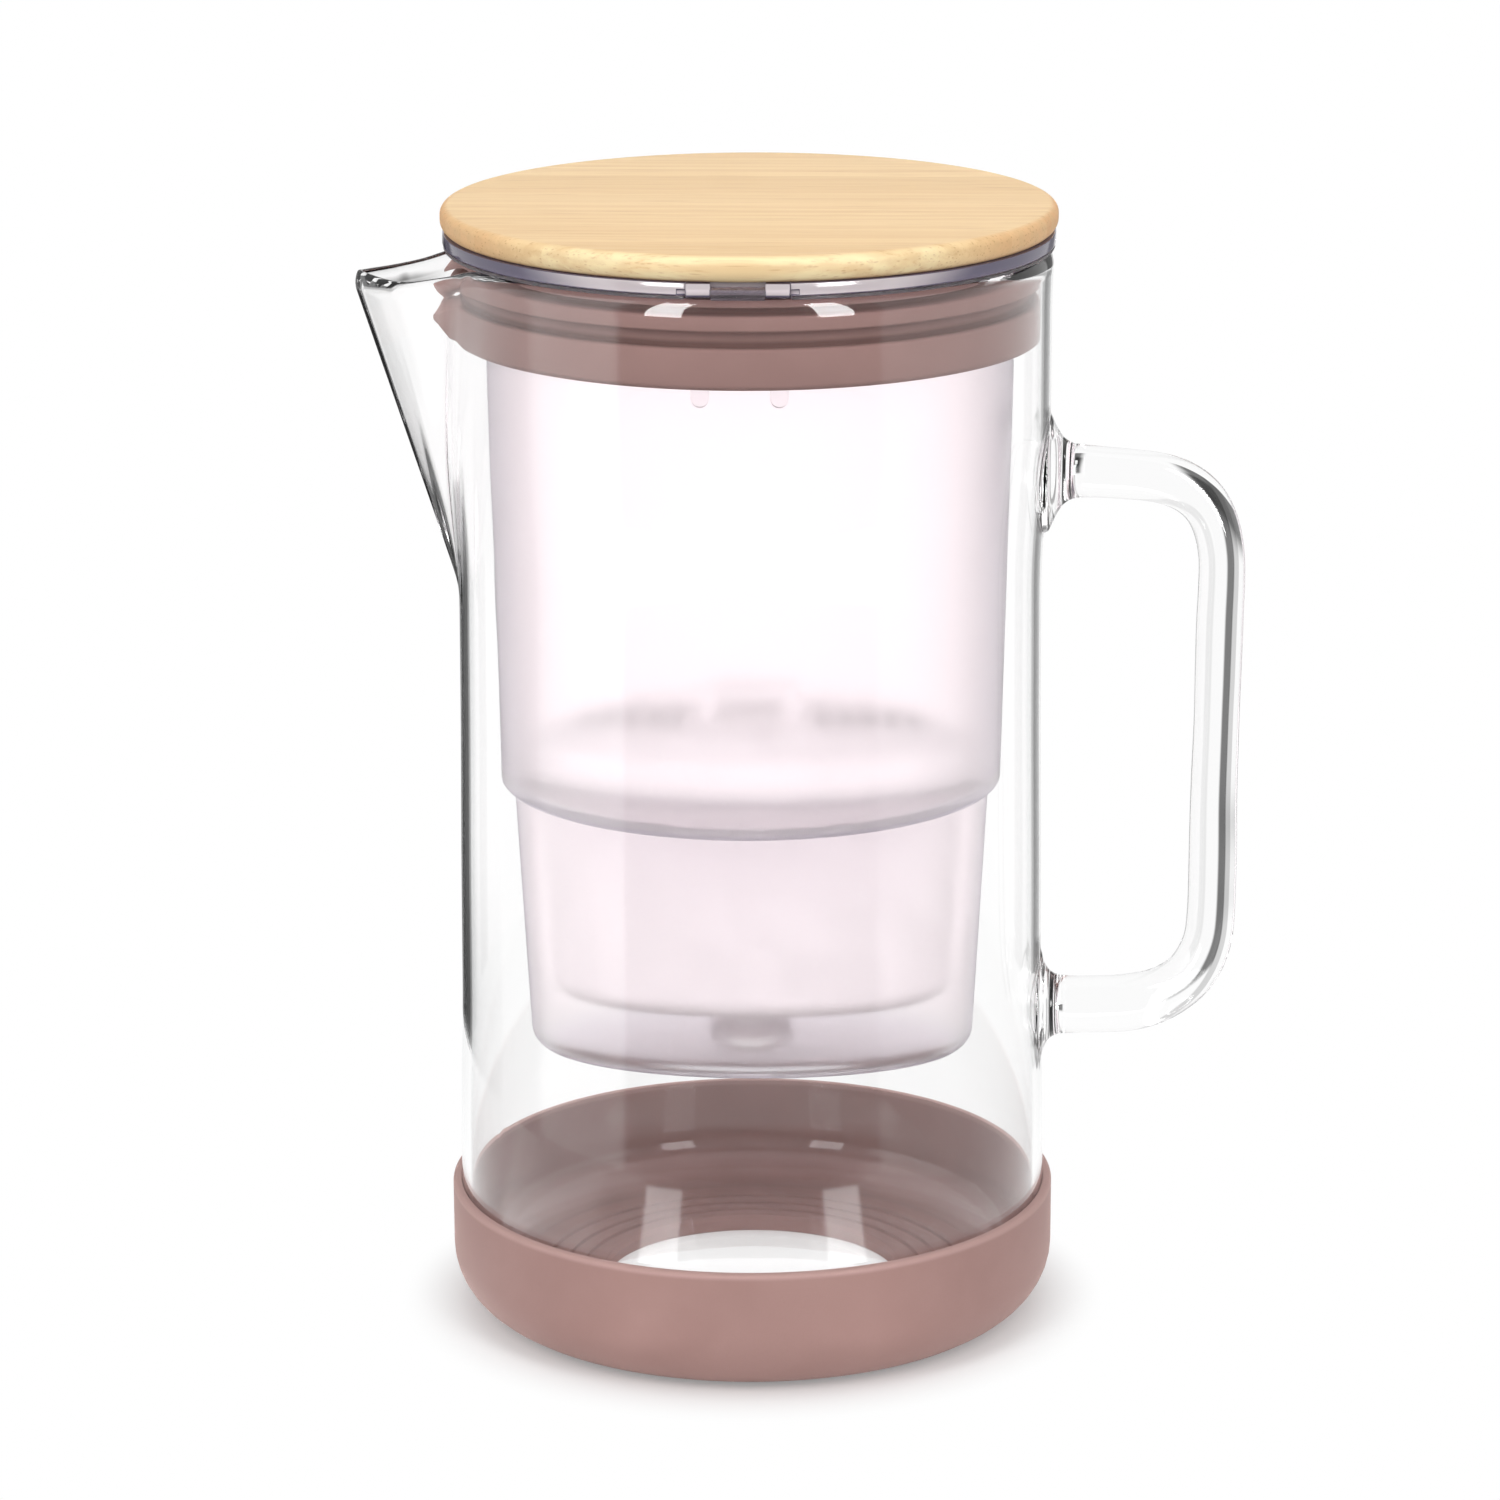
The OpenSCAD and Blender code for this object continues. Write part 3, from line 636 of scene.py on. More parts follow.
def even(line, reach):
    """A line of values, smoothed over its neighbours."""
    weights = np.exp(-0.5 * (np.arange(-2 * reach, 2 * reach + 1) / reach) ** 2)
    padded = np.pad(line, 2 * reach, mode="edge")
    return np.convolve(padded, weights / weights.sum(), "valid")


HEIGHTS = np.arange(10, 245, 0.5)
SMOOTH_RADIUS = even(wall_radius(HEIGHTS), 8)
print("slimmest outer radius:", round(float(SMOOTH_RADIUS.min()), 2), "mm")

# %% [markdown]
# ## The spout seen from above
# Seen from above, the spout is a blunt point: two nearly straight sides leave the round wall in a
# soft bend and meet in a small round tip. Seen from the side, its lip dips below the rim. Both are
# kept as tables over the angle from the spout, so that the rule for the wall can look them up.

# %% The spout's plan and the dip of its lip
spout_side = [(58.87, 28.71, 0), (65.9, 17.3, 6), (72.1, 17.2, 6), (86.07, 0, 3.4)]
spout_plan = soften(spout_side + [(x, -w, r) for x, w, r in spout_side[2::-1]], closed=False, steps=8)
plan_angle = np.degrees(np.arctan2(spout_plan[:, 1], spout_plan[:, 0]))
plan_reach = np.hypot(spout_plan[:, 0], spout_plan[:, 1]) - NECK_R
half_plan = plan_angle >= 0
order = np.argsort(plan_angle[half_plan])
PLAN_ANGLE = np.append(plan_angle[half_plan][order], [30.0, 34.0])
PLAN_SHARE = np.append(plan_reach[half_plan][order], [0.0, 0.0]) / (SPOUT_REACH - NECK_R)
DIP_ANGLE = [0, 3, 6, 9, 11.5, 13.2, 14.3, 17, 20, 24, 28, 33, 38]
DIP_Z = [234.5, 234.3, 234.1, 234.1, 234.4, 234.8, 235.4, 236.4, 237.6, 239.0, 240.0, 240.5, RIM_Z]
fine_angle = np.arange(0, 60, 0.25)
FINE_SHARE = np.interp(fine_angle, PLAN_ANGLE, PLAN_SHARE)
both_sides = np.concatenate([FINE_SHARE[48:0:-1], FINE_SHARE])
crisp_share, soft_share = even(both_sides, 1)[48:], even(both_sides, 11)[48:]
crispness = np.clip((10 - fine_angle) / 4, 0, 1)
FINE_SHARE = crispness * crisp_share + (1 - crispness) * soft_share
FINE_SHARE *= 1.02 / FINE_SHARE[0]
FINE_DIP = even(np.concatenate([np.interp(fine_angle[12:0:-1], DIP_ANGLE, DIP_Z),
                                np.interp(fine_angle, DIP_ANGLE, DIP_Z)]), 5)[12:]
print("the spout reaches", SPOUT_REACH - NECK_R, "mm out; its lip dips", round(RIM_Z - FINE_DIP.min(), 1), "mm")

# %% [markdown]
# ## The wall as a grid
# The wall could be sculpted, but glass shows every kink, and a grid of points by angle and height
# keeps its faces even. The columns stand closer together near the spout. The inner side is the outer
# one moved inwards, square to the surface, whose direction comes from the neighbouring points.

# %% The wall as a grid of points
def spout_angles():
    """Angles round the jug, measured from the spout and closer together near it."""
    near = np.concatenate([np.arange(-34, -18, 1.0), np.arange(-18, 18, 0.5), np.arange(18, 34, 1.0)])
    far = np.linspace(34, 326, 150, endpoint=False)
    return np.concatenate([near, far])


def outer_wall(z, angle):
    """The point of the outer wall that would stand at height z on a jug without a spout."""
    away = abs((angle + 180) % 360 - 180)
    rim = float(np.interp(away, fine_angle, FINE_DIP))
    top, start = RIM_Z - BEAD_DROP, 205.0
    flare = 0.3 * min(max((z - 226) / (top - 226), 0.0), 1.0) ** 2
    if z > start:
        z = start + (z - start) * (rim - BEAD_DROP - start) / (top - start)
    radius = float(np.interp(z, HEIGHTS, SMOOTH_RADIUS)) + flare
    along = (z - SPOUT_FOOT_Z) / (DIP_Z[0] - SPOUT_FOOT_Z)
    along = (along + math.sqrt(along * along + 0.0006)) / 2
    ridge = WAIST_R + (SPOUT_REACH - WAIST_R) * along
    width = 0.22 + 0.78 * min(max(along, 0.0), 1.0) ** 0.7
    share = float(np.interp(away / width, fine_angle, FINE_SHARE))
    if z > 150:
        radius += share * max(ridge - radius, 0.0)
    turn = math.radians(180 + angle)
    return radius * math.cos(turn), radius * math.sin(turn), z


angles = spout_angles()
wall_z = np.concatenate([np.linspace(15, 150, 34), np.linspace(153, 225, 37),
                         np.linspace(226.5, RIM_Z - BEAD_DROP, 12)])
outer = np.array([[outer_wall(z, a) for a in angles] for z in wall_z])
round_trip = np.roll(outer, -1, 1) - np.roll(outer, 1, 1)
upwards = np.gradient(outer, axis=0)
square = np.cross(round_trip, upwards)
square /= np.linalg.norm(square, axis=2, keepdims=True)
inner = outer - GLASS_T * square
print("wall grid:", outer.shape[0], "x", outer.shape[1], "points")

# %% [markdown]
# ## Rim and floor
# The flame rounds the rim into a bead, with a longer curve outside than inside. The floor is slightly
# domed, as blown bottoms are, and a wide round leads up into the wall. The rings are joined from the
# middle of the underside up the outside, over the rim and down the inside to the floor.

# %% Rim, floor and the whole jug
def level_ring(radius, z):
    turn = np.radians(180 + angles)
    return np.stack([radius * np.cos(turn), radius * np.sin(turn), np.full(len(turn), z)], 1)


def rim_bead():
    """Rings over the top of the wall: a long soft curve outside, then a small round inside."""
    out = outer[-1] - inner[-1]
    out /= np.linalg.norm(out, axis=1, keepdims=True)
    up = upwards[-1] / np.linalg.norm(upwards[-1], axis=1, keepdims=True)
    turn = math.radians(40)
    line = [(6.0 * (math.cos(a) - 1), 6.0 * math.sin(a)) for a in np.linspace(0, turn, 9)[1:]]
    centre = (line[-1][0] - 0.75 * math.cos(turn), line[-1][1] - 0.75 * math.sin(turn))
    line += [(centre[0] + 0.75 * math.cos(a), centre[1] + 0.75 * math.sin(a))
             for a in np.linspace(turn, math.pi, 9)[1:]]
    return [outer[-1] + across * out + high * up for across, high in line]


def corner_rings(radius, z, size):
    """Rings round the lower corner of a wall, from the floor at height z up to the wall's radius."""
    return [level_ring(radius - size + size * math.cos(a), z + size + size * math.sin(a))
            for a in np.linspace(-math.pi / 2, 0, 12)[:-1]]


kick = [(r, 3.0 + 1.5 * (1 - (r / 46) ** 2) ** 2) for r in (0, 6, 12, 18, 24, 30, 36, 42)]
foot_out = [level_ring(r, z) for r, z in kick] + [level_ring(49, 3.0)] + corner_rings(FOOT_R, FLOOR_Z, CORNER)
floor_in = [level_ring(r, z + 4.5 - 0.4 * (1 - r / 46)) for r, z in kick] + [level_ring(49, 7.5)]
foot_in = floor_in + corner_rings(FOOT_R - GLASS_T, 7.5, CORNER - GLASS_T)
low_in = inner[wall_z > 17.3]
jug_rings = foot_out + list(outer) + rim_bead() + list(low_in[::-1]) + foot_in[::-1]
jug = make_piece("pitcher_glass", *skin(jug_rings, closed=False), clear_glass, sharp=60)
print("jug:", len(jug.data.polygons), "faces")

# %% [markdown]
# ## The handle
# The handle is a solid glass rod, bent in the flame and pressed against the hot wall at both ends,
# where the glass flows out into a root. The rod follows a path, so it is grown along a curve whose
# radius swells at the roots. A rod bent by hand is never quite true, so a slow noise makes its skin
# sway by a few tenths. A boolean then fuses it with the jug into one closed skin. Two separate
# skins would show a dark mirror where rod and wall meet, because light would cross a border there.

# %% The path of the rod
# Each point is the distance from the axis, the height and the rod's radius there.
ROD = [(63.3, 190.9, 13.6), (64.6, 190.9, 13.4), (65.3, 190.9, 12.8), (65.9, 190.9, 11.6), (66.6, 190.9, 10.1),
       (67.3, 190.9, 8.8), (68.1, 190.9, 7.6), (69, 190.9, 6.8), (70.3, 190.9, 6.1), (72.2, 190.9, 5.75),
       (75, 190.8, 5.6), (80, 190.5, 5.55), (85, 190.1, 5.5), (88.5, 189.6, 5.5),
       (92, 188.7, 5.5), (95.5, 187.1, 5.5), (98.4, 184.8, 5.45), (100.6, 181.7, 5.35), (102.2, 177.4, 5.25),
       (103.1, 172, 5.2), (103.2, 166, 5.2), (103.0, 158, 5.17), (102.8, 146, 5.17), (102.6, 132, 5.2),
       (102.4, 116, 5.22), (102.3, 100, 5.3), (102.1, 90, 5.3), (101.5, 84.5, 5.3), (99.9, 79.9, 5.4),
       (97.4, 76.0, 5.55), (94.2, 73.2, 5.8), (90.6, 71.2, 6.1), (86.6, 69.9, 6.35), (82, 69.2, 6.4),
       (76, 68.95, 6.4), (72, 68.9, 6.4), (69.3, 68.9, 6.5), (67.8, 68.9, 6.85), (66.9, 68.9, 7.35),
       (66.2, 68.9, 8.0), (65.6, 68.9, 9.0), (65.1, 68.9, 10.2), (64.7, 68.9, 11.8), (64.1, 68.9, 12.7),
       (63.2, 68.9, 13.0)]
rod_seed = bpy.data.meshes.new("rod path")
rod_seed.from_pydata([(x * MM, 0, z * MM) for x, z, girth in ROD], [(i, i + 1) for i in range(len(ROD) - 1)], [])
rod_seed.attributes.new("girth", "FLOAT", "POINT").data.foreach_set("value", [girth * MM for x, z, girth in ROD])
print("the rod is bent through", len(ROD), "points")

# %% [markdown]
# ## Growing the rod
# The tree makes the path a smooth curve and carries a circle along it, scaled by the girth that is
# stored at each point. A curve's own bevel could make a rod too, but the tree keeps the swell at the
# roots, the number of sides and the sway as named sizes.

# %% Growing the rod and fusing it
def rod_tree():
    """A round rod along a smooth path, as thick at each point as the path says."""
    recipe, given = new_tree("rod along a path", [("Sides", "Int"), ("Steps", "Int"), ("Sway", "Float"),
                                                  ("Sway Scale", "Float"), ("Finish", "Material")])
    girth = recipe.node("GeometryNodeInputNamedAttribute", {"data_type": "FLOAT"}, {"Name": "girth"})
    path = recipe.node("GeometryNodeMeshToCurve", {}, {"Mesh": given["Geometry"]})
    path = recipe.node("GeometryNodeCurveSplineType", {"spline_type": "CATMULL_ROM"}, {"Curve": path})
    path = recipe.node("GeometryNodeSetSplineResolution", {}, {"Geometry": path, "Resolution": given["Steps"]})
    ring = recipe.node("GeometryNodeCurvePrimitiveCircle", {"mode": "RADIUS"},
                       {"Resolution": given["Sides"], "Radius": 1.0})
    rod = recipe.node("GeometryNodeCurveToMesh", {}, {
        "Curve": path, "Profile Curve": ring, "Scale": girth, "Fill Caps": True})
    sway = recipe.node("ShaderNodeTexNoise", {}, {"Scale": given["Sway Scale"], "Detail": 1.0})
    normal = recipe.node("GeometryNodeInputNormal", {})
    push = recipe.node("ShaderNodeVectorMath", {"operation": "SCALE"}, {
        0: normal, "Scale": (sway - 0.5) * given["Sway"]})
    rod = recipe.node("GeometryNodeSetPosition", {}, {"Geometry": rod, "Offset": push})
    end_tree(recipe, rod, given["Finish"])
    return recipe


rod = grow("rod", rod_tree(), {"Sides": 64, "Steps": 5, "Sway": 0.9 * MM, "Sway Scale": 34.0,
                               "Finish": clear_glass}, rod_seed)
print("rod thickness:", [round(1000 * s, 1) for s in rod.dimensions])
carve(jug, [rod], "UNION", sharp=60)
belongs(jug, "jug", "borosilicate_glass", "glass_jug", "glass_handle")

# %% [markdown]
# ## The silicone boot
# The boot is a shallow cup that grips the foot of the jug. Its outer corner is a wide round, its rim
# has a soft bevel, and three fine rings are moulded into its floor round an open window. It is one
# outline turned round the axis; only the small radii decide how it catches the light.

# %% The boot
BOOT_R, BOOT_H, WINDOW_R = 67.4, 29.0, 33.0


def boot_outline():
    corners = [(WINDOW_R, 0, 0.4), (BOOT_R - 0.05, 0, 16), (BOOT_R, BOOT_H, 1.5), (65.46, BOOT_H, 0.35),
               (65.45, 3.02, 11.9)]
    for r in (48, 43, 38.6):
        corners += [(r, 3, 0.15), (r - 0.1, 2.2, 0.2), (r - 1.3, 2.2, 0.2), (r - 1.4, 3, 0.15)]
    return soften(corners + [(WINDOW_R + 0.8, 3, 0.2), (WINDOW_R, 2.2, 0.2)], steps=10)


boot = make_piece("silicone_boot", *skin(turned(boot_outline(), 256)), rose_silicone, sharp=50)
belongs(boot, "jug", "dusty_rose_silicone", "base_sleeve")

# %% [markdown]
# ## The frosted hopper
# The hopper is one moulding: a round cup with a collar and a flange, a shoulder, and below it an
# oval pocket for the cartridge with a small outlet cup in its floor. Each ring of its outline is an
# ellipse. Its two half widths may differ, so the same loft passes from round to oval at the shoulder.

# %% The hopper
COLLAR_R, SHOULDER_R, HOPPER_T = 57.3, 55.1, 1.8
SHOULDER_Z, FLANGE_R, FLANGE_TOP = 122.4, 66.0, 241.5


def pocket_width(inset):
    """Half width of the pocket where its half length is r, and round again at the outlet."""
    def width(r, z):
        whole = r + inset
        if z > SHOULDER_Z - 0.5:
            return whole - inset if whole > 52.75 else 30.0 / 52.6 * whole - inset * (1 - 30.0 / 52.6)
        if whole > 44:
            return 27.9 + (whole - 49.1) * (0.6 if whole > 49.1 else 1.0) - inset
        return min(r, 22.8 - inset * 0.2)
    return width


def hopper_rings():
    outside = soften([(6, 59, 0.3), (49.1, 59, 5.5), (52.6, SHOULDER_Z - 0.4, 0.4)], closed=False, steps=9)
    outside = [p for p in outside if p[0] > 44.5 or p[0] <= 6.01]
    low = [(6, 59.0), (9, 59.0), (20, 59.0)] + [tuple(p) for p in outside if p[0] > 44.5]
    shell = soften([(53.0, SHOULDER_Z, 0), (SHOULDER_R, SHOULDER_Z, 1.7), (COLLAR_R, 212, 60),
                    (COLLAR_R, 226, 0.3), (COLLAR_R + 0.9, 226.5, 0.3), (COLLAR_R + 0.9, 226.9, 0.3),
                    (COLLAR_R, 227.4, 0.3), (COLLAR_R, 239.4, 0.2), (60.4, 239.4, 0.2), (60.4, 240.8, 0.1),
                    (FLANGE_R, 240.8, 0.2), (FLANGE_R, FLANGE_TOP, 0.3), (56.3, FLANGE_TOP, 0.3),
                    (55.5, 240.7, 0.3), (55.5, 212, 60), (53.3, 124.9, 0.9), (51.6, 124.2, 0)],
                   closed=False, steps=5)
    inside = soften([(50.75, 124.2, 0.4), (47.4, 60.8, 4.4), (30, 60.8, 0)], closed=False, steps=9)
    cup = soften([(20, 60.8, 0), (9, 60.8, 0.8), (9, 66.3, 0.4), (7.5, 66.3, 0.4), (7.5, 60.8, 0.3),
                  (6, 60.8, 0.2), (6, 59.2, 0)], closed=False, steps=4)
    return (turned(low[:2]) + ovals(low[2:], pocket_width(0)) + turned(shell)
            + ovals(inside, pocket_width(HOPPER_T)) + turned(cup))


hopper = make_piece("frosted_hopper", *skin(hopper_rings()), frosted_plastic, sharp=40)
notch = block("notch", (-11.1, -70, 239.3), (11.1, -58.4, 243), frosted_plastic)
carve(hopper, [notch], sharp=40)
belongs(hopper, "hopper_unit", "frosted_plastic", "hopper")

# %% [markdown]
# ## The sealing ring
# The ring grips the hopper's collar and presses its fins against the glass. Above a broad band stand
# a fin and a thin top lip. Towards the spout all three are drawn out into beaks, which guide the
# water and keep the hopper from turning. The outline is turned round the axis, and near the spout
# each fin's edge moves outwards and droops by a smooth rule.

# %% The ring
RING_R, RING_LOW, RING_TOP = 63.0, 221.2, 240.5
# For each beak: how far its tip reaches from the axis, the tip's height, how many degrees it spreads
# to each side, the height of its middle on the plain ring, and how slim it gets at the tip.
BEAKS = {"band": (67.8, 224.6, 15.5, 225.6, 0.14), "fin": (65.7, 230.9, 13.0, 235.2, 0.75),
         "lip": (66.3, 234.6, 17.0, 239.4, 0.40)}
ROUND_SPREAD = 6.5


def ring_outline():
    """Corners of the ring's outline, each with the name of the beak that it belongs to."""
    return [((57.4, RING_LOW, 0.2), None), ((RING_R, RING_LOW, 1.5), "band"), ((RING_R, 230.1, 0.7), "band"),
            ((60.9, 230.1, 0.4), None), ((60.9, 233.7, 0.4), None), ((RING_R, 233.7, 0.5), "fin"),
            ((RING_R - 0.1, 236.8, 0.5), "fin"), ((60.9, 236.8, 0.4), None), ((60.9, 238.3, 0.3), None),
            ((RING_R, 238.3, 0.4), "lip"), ((RING_R - 0.2, RING_TOP, 0.5), "lip"), ((60.5, RING_TOP, 0.2), None),
            ((60.5, 239.35, 0.1), None), ((57.4, 239.35, 0.1), None)]


def ring_at(angle):
    """The ring's outline at an angle from the spout."""
    away = abs((angle + 180) % 360 - 180)
    corners = []
    for (r, z, soft), beak in ring_outline():
        if beak:
            reach, tip_z, spread, middle, slimness = BEAKS[beak]
            share = max(0.0, 1 - away / spread)
            out = share ** 1.6 if beak != "fin" else 0.9 * math.sqrt(max(0.0, 1 - (away / ROUND_SPREAD) ** 2))
            r = r + (reach - RING_R) * out
            z = z + share ** 1.1 * (tip_z + (z - middle) * slimness - z)
        corners.append((r, z, soft))
    turn = math.radians(180 + angle)
    line = soften(corners, steps=3)
    return np.stack([line[:, 0] * math.cos(turn), line[:, 0] * math.sin(turn), line[:, 1]], 1)


ring_angles = np.concatenate([np.arange(-20, 20, 0.5), np.linspace(20, 340, 190, endpoint=False)])
ring_grid = [ring_at(a) for a in ring_angles]
ring = make_piece("beaked_sealing_ring", *skin(ring_grid), rose_silicone, sharp=45)
channels = [block("channel", (side * 8.2 - 2.05, -58.95, 220), (side * 8.2 + 2.05, -53, 242), rose_silicone)
            for side in (-1, 1)]
carve(ring, channels, sharp=45)
belongs(ring, "hopper_unit", "dusty_rose_silicone", "sealing_ring")

# %% [markdown]
# ## The flip lid
# The lid is a bamboo board screwed to a smoky clear plate. The plate has a skirt that centres it in
# the hopper and two knuckles that turn on a steel pin. The board's edge is a soft round below and a
# smaller one above, as a router leaves it.

# %% The board
DISC_R, DISC_Z, TOP_Z = 66.7, 244.3, 250.0

board_line = soften([(0, DISC_Z, 0), (DISC_R, DISC_Z, 2.7), (DISC_R, TOP_Z, 2.0), (0, TOP_Z, 0)],
                    closed=False, steps=8)
board = make_piece("bamboo_board", *skin(turned(board_line, 256), closed=False), bamboo, sharp=60)
belongs(board, "lid", "bamboo", "bamboo_disc")

# %% [markdown]
# ## The plate under the board
# The plate is turned from one outline, apart from its hinge. A notch is cut where the hinge sits,
# and two knuckles on short necks are fused on. One long bore then goes through both knuckles, so
# they stay in line, as a drill would leave them.

# %% The smoky plate with its skirt and knuckles
HINGE_Y, HINGE_Z, KNUCKLE_R = -65.1, 242.45, 1.1


def knuckle(name, low_x, high_x, finish, radius=KNUCKLE_R):
    """A round bar along the hinge, with its ends chamfered by a tenth."""
    around = np.arange(48) * 2 * math.pi / 48
    rings = []
    for x, r in [(low_x, radius - 0.1), (low_x + 0.1, radius), (high_x - 0.1, radius), (high_x, radius - 0.1)]:
        rings.append(np.stack([np.full(48, x), HINGE_Y + r * np.cos(around), HINGE_Z + r * np.sin(around)], 1))
    ends = [np.tile([[x, HINGE_Y, HINGE_Z]], (48, 1)) for x in (low_x, high_x)]
    return make_piece(name, *skin([ends[0]] + rings + [ends[1]], closed=False), finish, 40)


plate_line = soften([(0, 242.3, 0), (53.3, 242.3, 0.3), (53.3, 236.8, 0.4), (54.8, 236.8, 0.6),
                     (54.8, 242.3, 0.3), (63.8, 242.3, 0.2), (63.8, 241.65, 0.1), (66.2, 241.65, 0.4),
                     (66.2, DISC_Z, 0.25), (0, DISC_Z, 0)], closed=False, steps=4)
plate = make_piece("smoky_lid_plate", *skin(turned(plate_line, 256), closed=False), smoky_plastic, sharp=40)
carve(plate, [block("notch", (-10.9, -70, 240), (10.9, -63.75, 245), smoky_plastic)])
for side in (-1, 1):
    low_x, high_x = sorted((side * 5.7, side * 10.7))
    carve(plate, [block("neck", (low_x, -66.0, HINGE_Z), (high_x, -62.3, 244.28), smoky_plastic),
                  knuckle("knuckle", low_x, high_x, smoky_plastic)], "UNION")
carve(plate, [knuckle("bore", -12.7, 12.7, smoky_plastic, 0.63)], sharp=35)
belongs(plate, "lid", "smoky_clear_plastic", "lid_ring")

# %% [markdown]
# ## The solids that stay
# The hinge's bracket and pin, and the cartridge's seal, screens and grains, are small plain solids
# that are already right. They keep their meshes and only get their finishes.

# %% Finishes for the solids that stay
def dress(node, finish):
    """Gives a solid of the frame its finish."""
    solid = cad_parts[node]
    solid.data.materials.clear()
    solid.data.materials.append(finish)
    print(node, "keeps its mesh and is finished in", finish.name)


dress("hinge_bracket", bracket_plastic)
dress("hinge_pin", steel)
dress("cartridge_seal", grey_silicone)
dress("inlet_mesh", screen_weave)
dress("outlet_mesh", screen_weave)
dress("filter_media", grains)

# %% [markdown]
# ## The screws under the lid
# Four screws hold the plate to the board. One screw is turned from an outline, with a cross cut into
# its head, and a small tree sets copies of it on a circle.

# %% One screw, set four times
def one_screw():
    shape = soften([(0, 241.2, 0), (2.6, 241.2, 0.9), (2.6, 242.3, 0.1), (1.2, 242.3, 0.1), (1.2, 246.6, 0),
                    (0, 247.7, 0)], closed=False, steps=4)
    screw = make_piece("screw", *skin(turned(shape, 32), closed=False), steel, 35)
    arms = [block("arm", (-1.5, -0.3, 241), (1.5, 0.3, 241.75), steel),
            block("arm", (-0.3, -1.5, 241), (0.3, 1.5, 241.75), steel)]
    return carve(screw, arms)


def circle_tree():
    recipe, given = new_tree("copies on a circle", [("Copy", "Object"), ("Count", "Int"),
                                                    ("Circle Radius", "Float"), ("Finish", "Material")])
    spots = recipe.node("GeometryNodeMeshCircle", {"fill_type": "NONE"},
                        {"Vertices": given["Count"], "Radius": given["Circle Radius"]})
    spots = recipe.node("GeometryNodeTransform", {}, {"Geometry": spots, "Rotation": (0, 0, math.pi / 4)})
    copy = recipe.node("GeometryNodeObjectInfo", {}, {"Object": given["Copy"]}, out="Geometry")
    turn = recipe.node("GeometryNodeInputIndex") * 0.7
    spin = recipe.node("ShaderNodeCombineXYZ", {}, {"Z": turn})
    set_out = recipe.node("GeometryNodeInstanceOnPoints", {}, {
        "Points": spots, "Instance": copy, "Rotation": spin})
    end_tree(recipe, set_out, given["Finish"])
    return recipe


master = one_screw()
screws = grow("lid_screws_crosshead", circle_tree(), {"Copy": master, "Count": 4, "Circle Radius": 40 * MM,
                                                      "Finish": steel})
bpy.data.objects.remove(master)
belongs(screws, "lid", "stainless_steel", "lid_screws")

# %% [markdown]
# ## The filter cartridge
# The cartridge is a white oval cup with a flange that rests on the hopper's shoulder, an outlet
# spigot, and a domed cap with slits for the water and a low bridge to lift it by. Through the frosted
# wall only its soft outline shows, but it can be lifted out, so it is finished all round.

# %% The cartridge's body
def shell_width(inset):
    def width(r, z):
        whole = r + inset
        if z > 124.4:
            return whole - (52.2 - 30.4) - inset if whole > 46 else 25.4 + (whole - 47.6) - inset
        share = min(max((z - 74.5) / 50, 0), 1)
        gap = 21.2 + share * 1.0
        return max(whole - gap - inset, 0) if whole > 38 else max(0.45 * whole, 0)
    return width


def body_rings():
    out = soften([(5.6, 71.5, 0), (43.8, 71.5, 5.5), (47.6, 124.5, 0.3), (52.2, 124.5, 0.5), (52.2, 126.1, 0.4),
                  (46.0, 126.1, 0.3)], closed=False, steps=6)
    inn = soften([(45.9, 126.0, 0), (42.3, 73.1, 4.2), (14, 73.1, 0)], closed=False, steps=6)
    far_out = [p for p in out if p[0] > 38]
    far_in = [p for p in inn if p[0] > 37]
    spigot = [(12, 73.1), (4.0, 73.1), (4.0, 62.1), (5.1, 62.0), (5.6, 62.5), (5.6, 71.5)]
    return (turned([(12, 71.5)]) + ovals(far_out, shell_width(0)) + ovals(far_in, shell_width(1.6))
            + turned(spigot))


shell = make_piece("cartridge_body", *skin(body_rings()), white_plastic, sharp=45)
belongs(shell, "cartridge", "white_plastic", "cartridge_shell")

# %% [markdown]
# ## The cartridge's cap
# The cap is a low oval dome with ten slits that let the water in. One slit is a plain block, and a
# tree sets five copies of it to each side and cuts them out. A small arched bridge over the middle
# gives the fingers something to pull.

# %% The cartridge's cap
def cap_tree():
    recipe, given = new_tree("slits through a cap", [("Slits", "Int"), ("Pitch", "Float"), ("First", "Float"),
                                                     ("Slit", "Object"), ("Finish", "Material")])
    row = recipe.node("GeometryNodeMeshLine", {"mode": "OFFSET"}, {
        "Count": given["Slits"],
        "Start Location": recipe.node("ShaderNodeCombineXYZ", {}, {"X": given["First"]}),
        "Offset": recipe.node("ShaderNodeCombineXYZ", {}, {"X": given["Pitch"]})})
    cutter = recipe.node("GeometryNodeObjectInfo", {}, {"Object": given["Slit"]}, out="Geometry")
    right = recipe.node("GeometryNodeInstanceOnPoints", {}, {"Points": row, "Instance": cutter})
    left = recipe.node("GeometryNodeTransform", {}, {"Geometry": right, "Rotation": (0, 0, math.pi)})
    both = recipe.node("GeometryNodeJoinGeometry", {}, {"Geometry": right})
    recipe.tree.links.new(left.socket, both.socket.node.inputs["Geometry"])
    cutters = recipe.node("GeometryNodeRealizeInstances", {}, {"Geometry": both})
    cut = recipe.node("GeometryNodeMeshBoolean", {"operation": "DIFFERENCE", "solver": "EXACT"},
                      {"Mesh 1": given["Geometry"], "Mesh 2": cutters})
    end_tree(recipe, cut, given["Finish"])
    return recipe


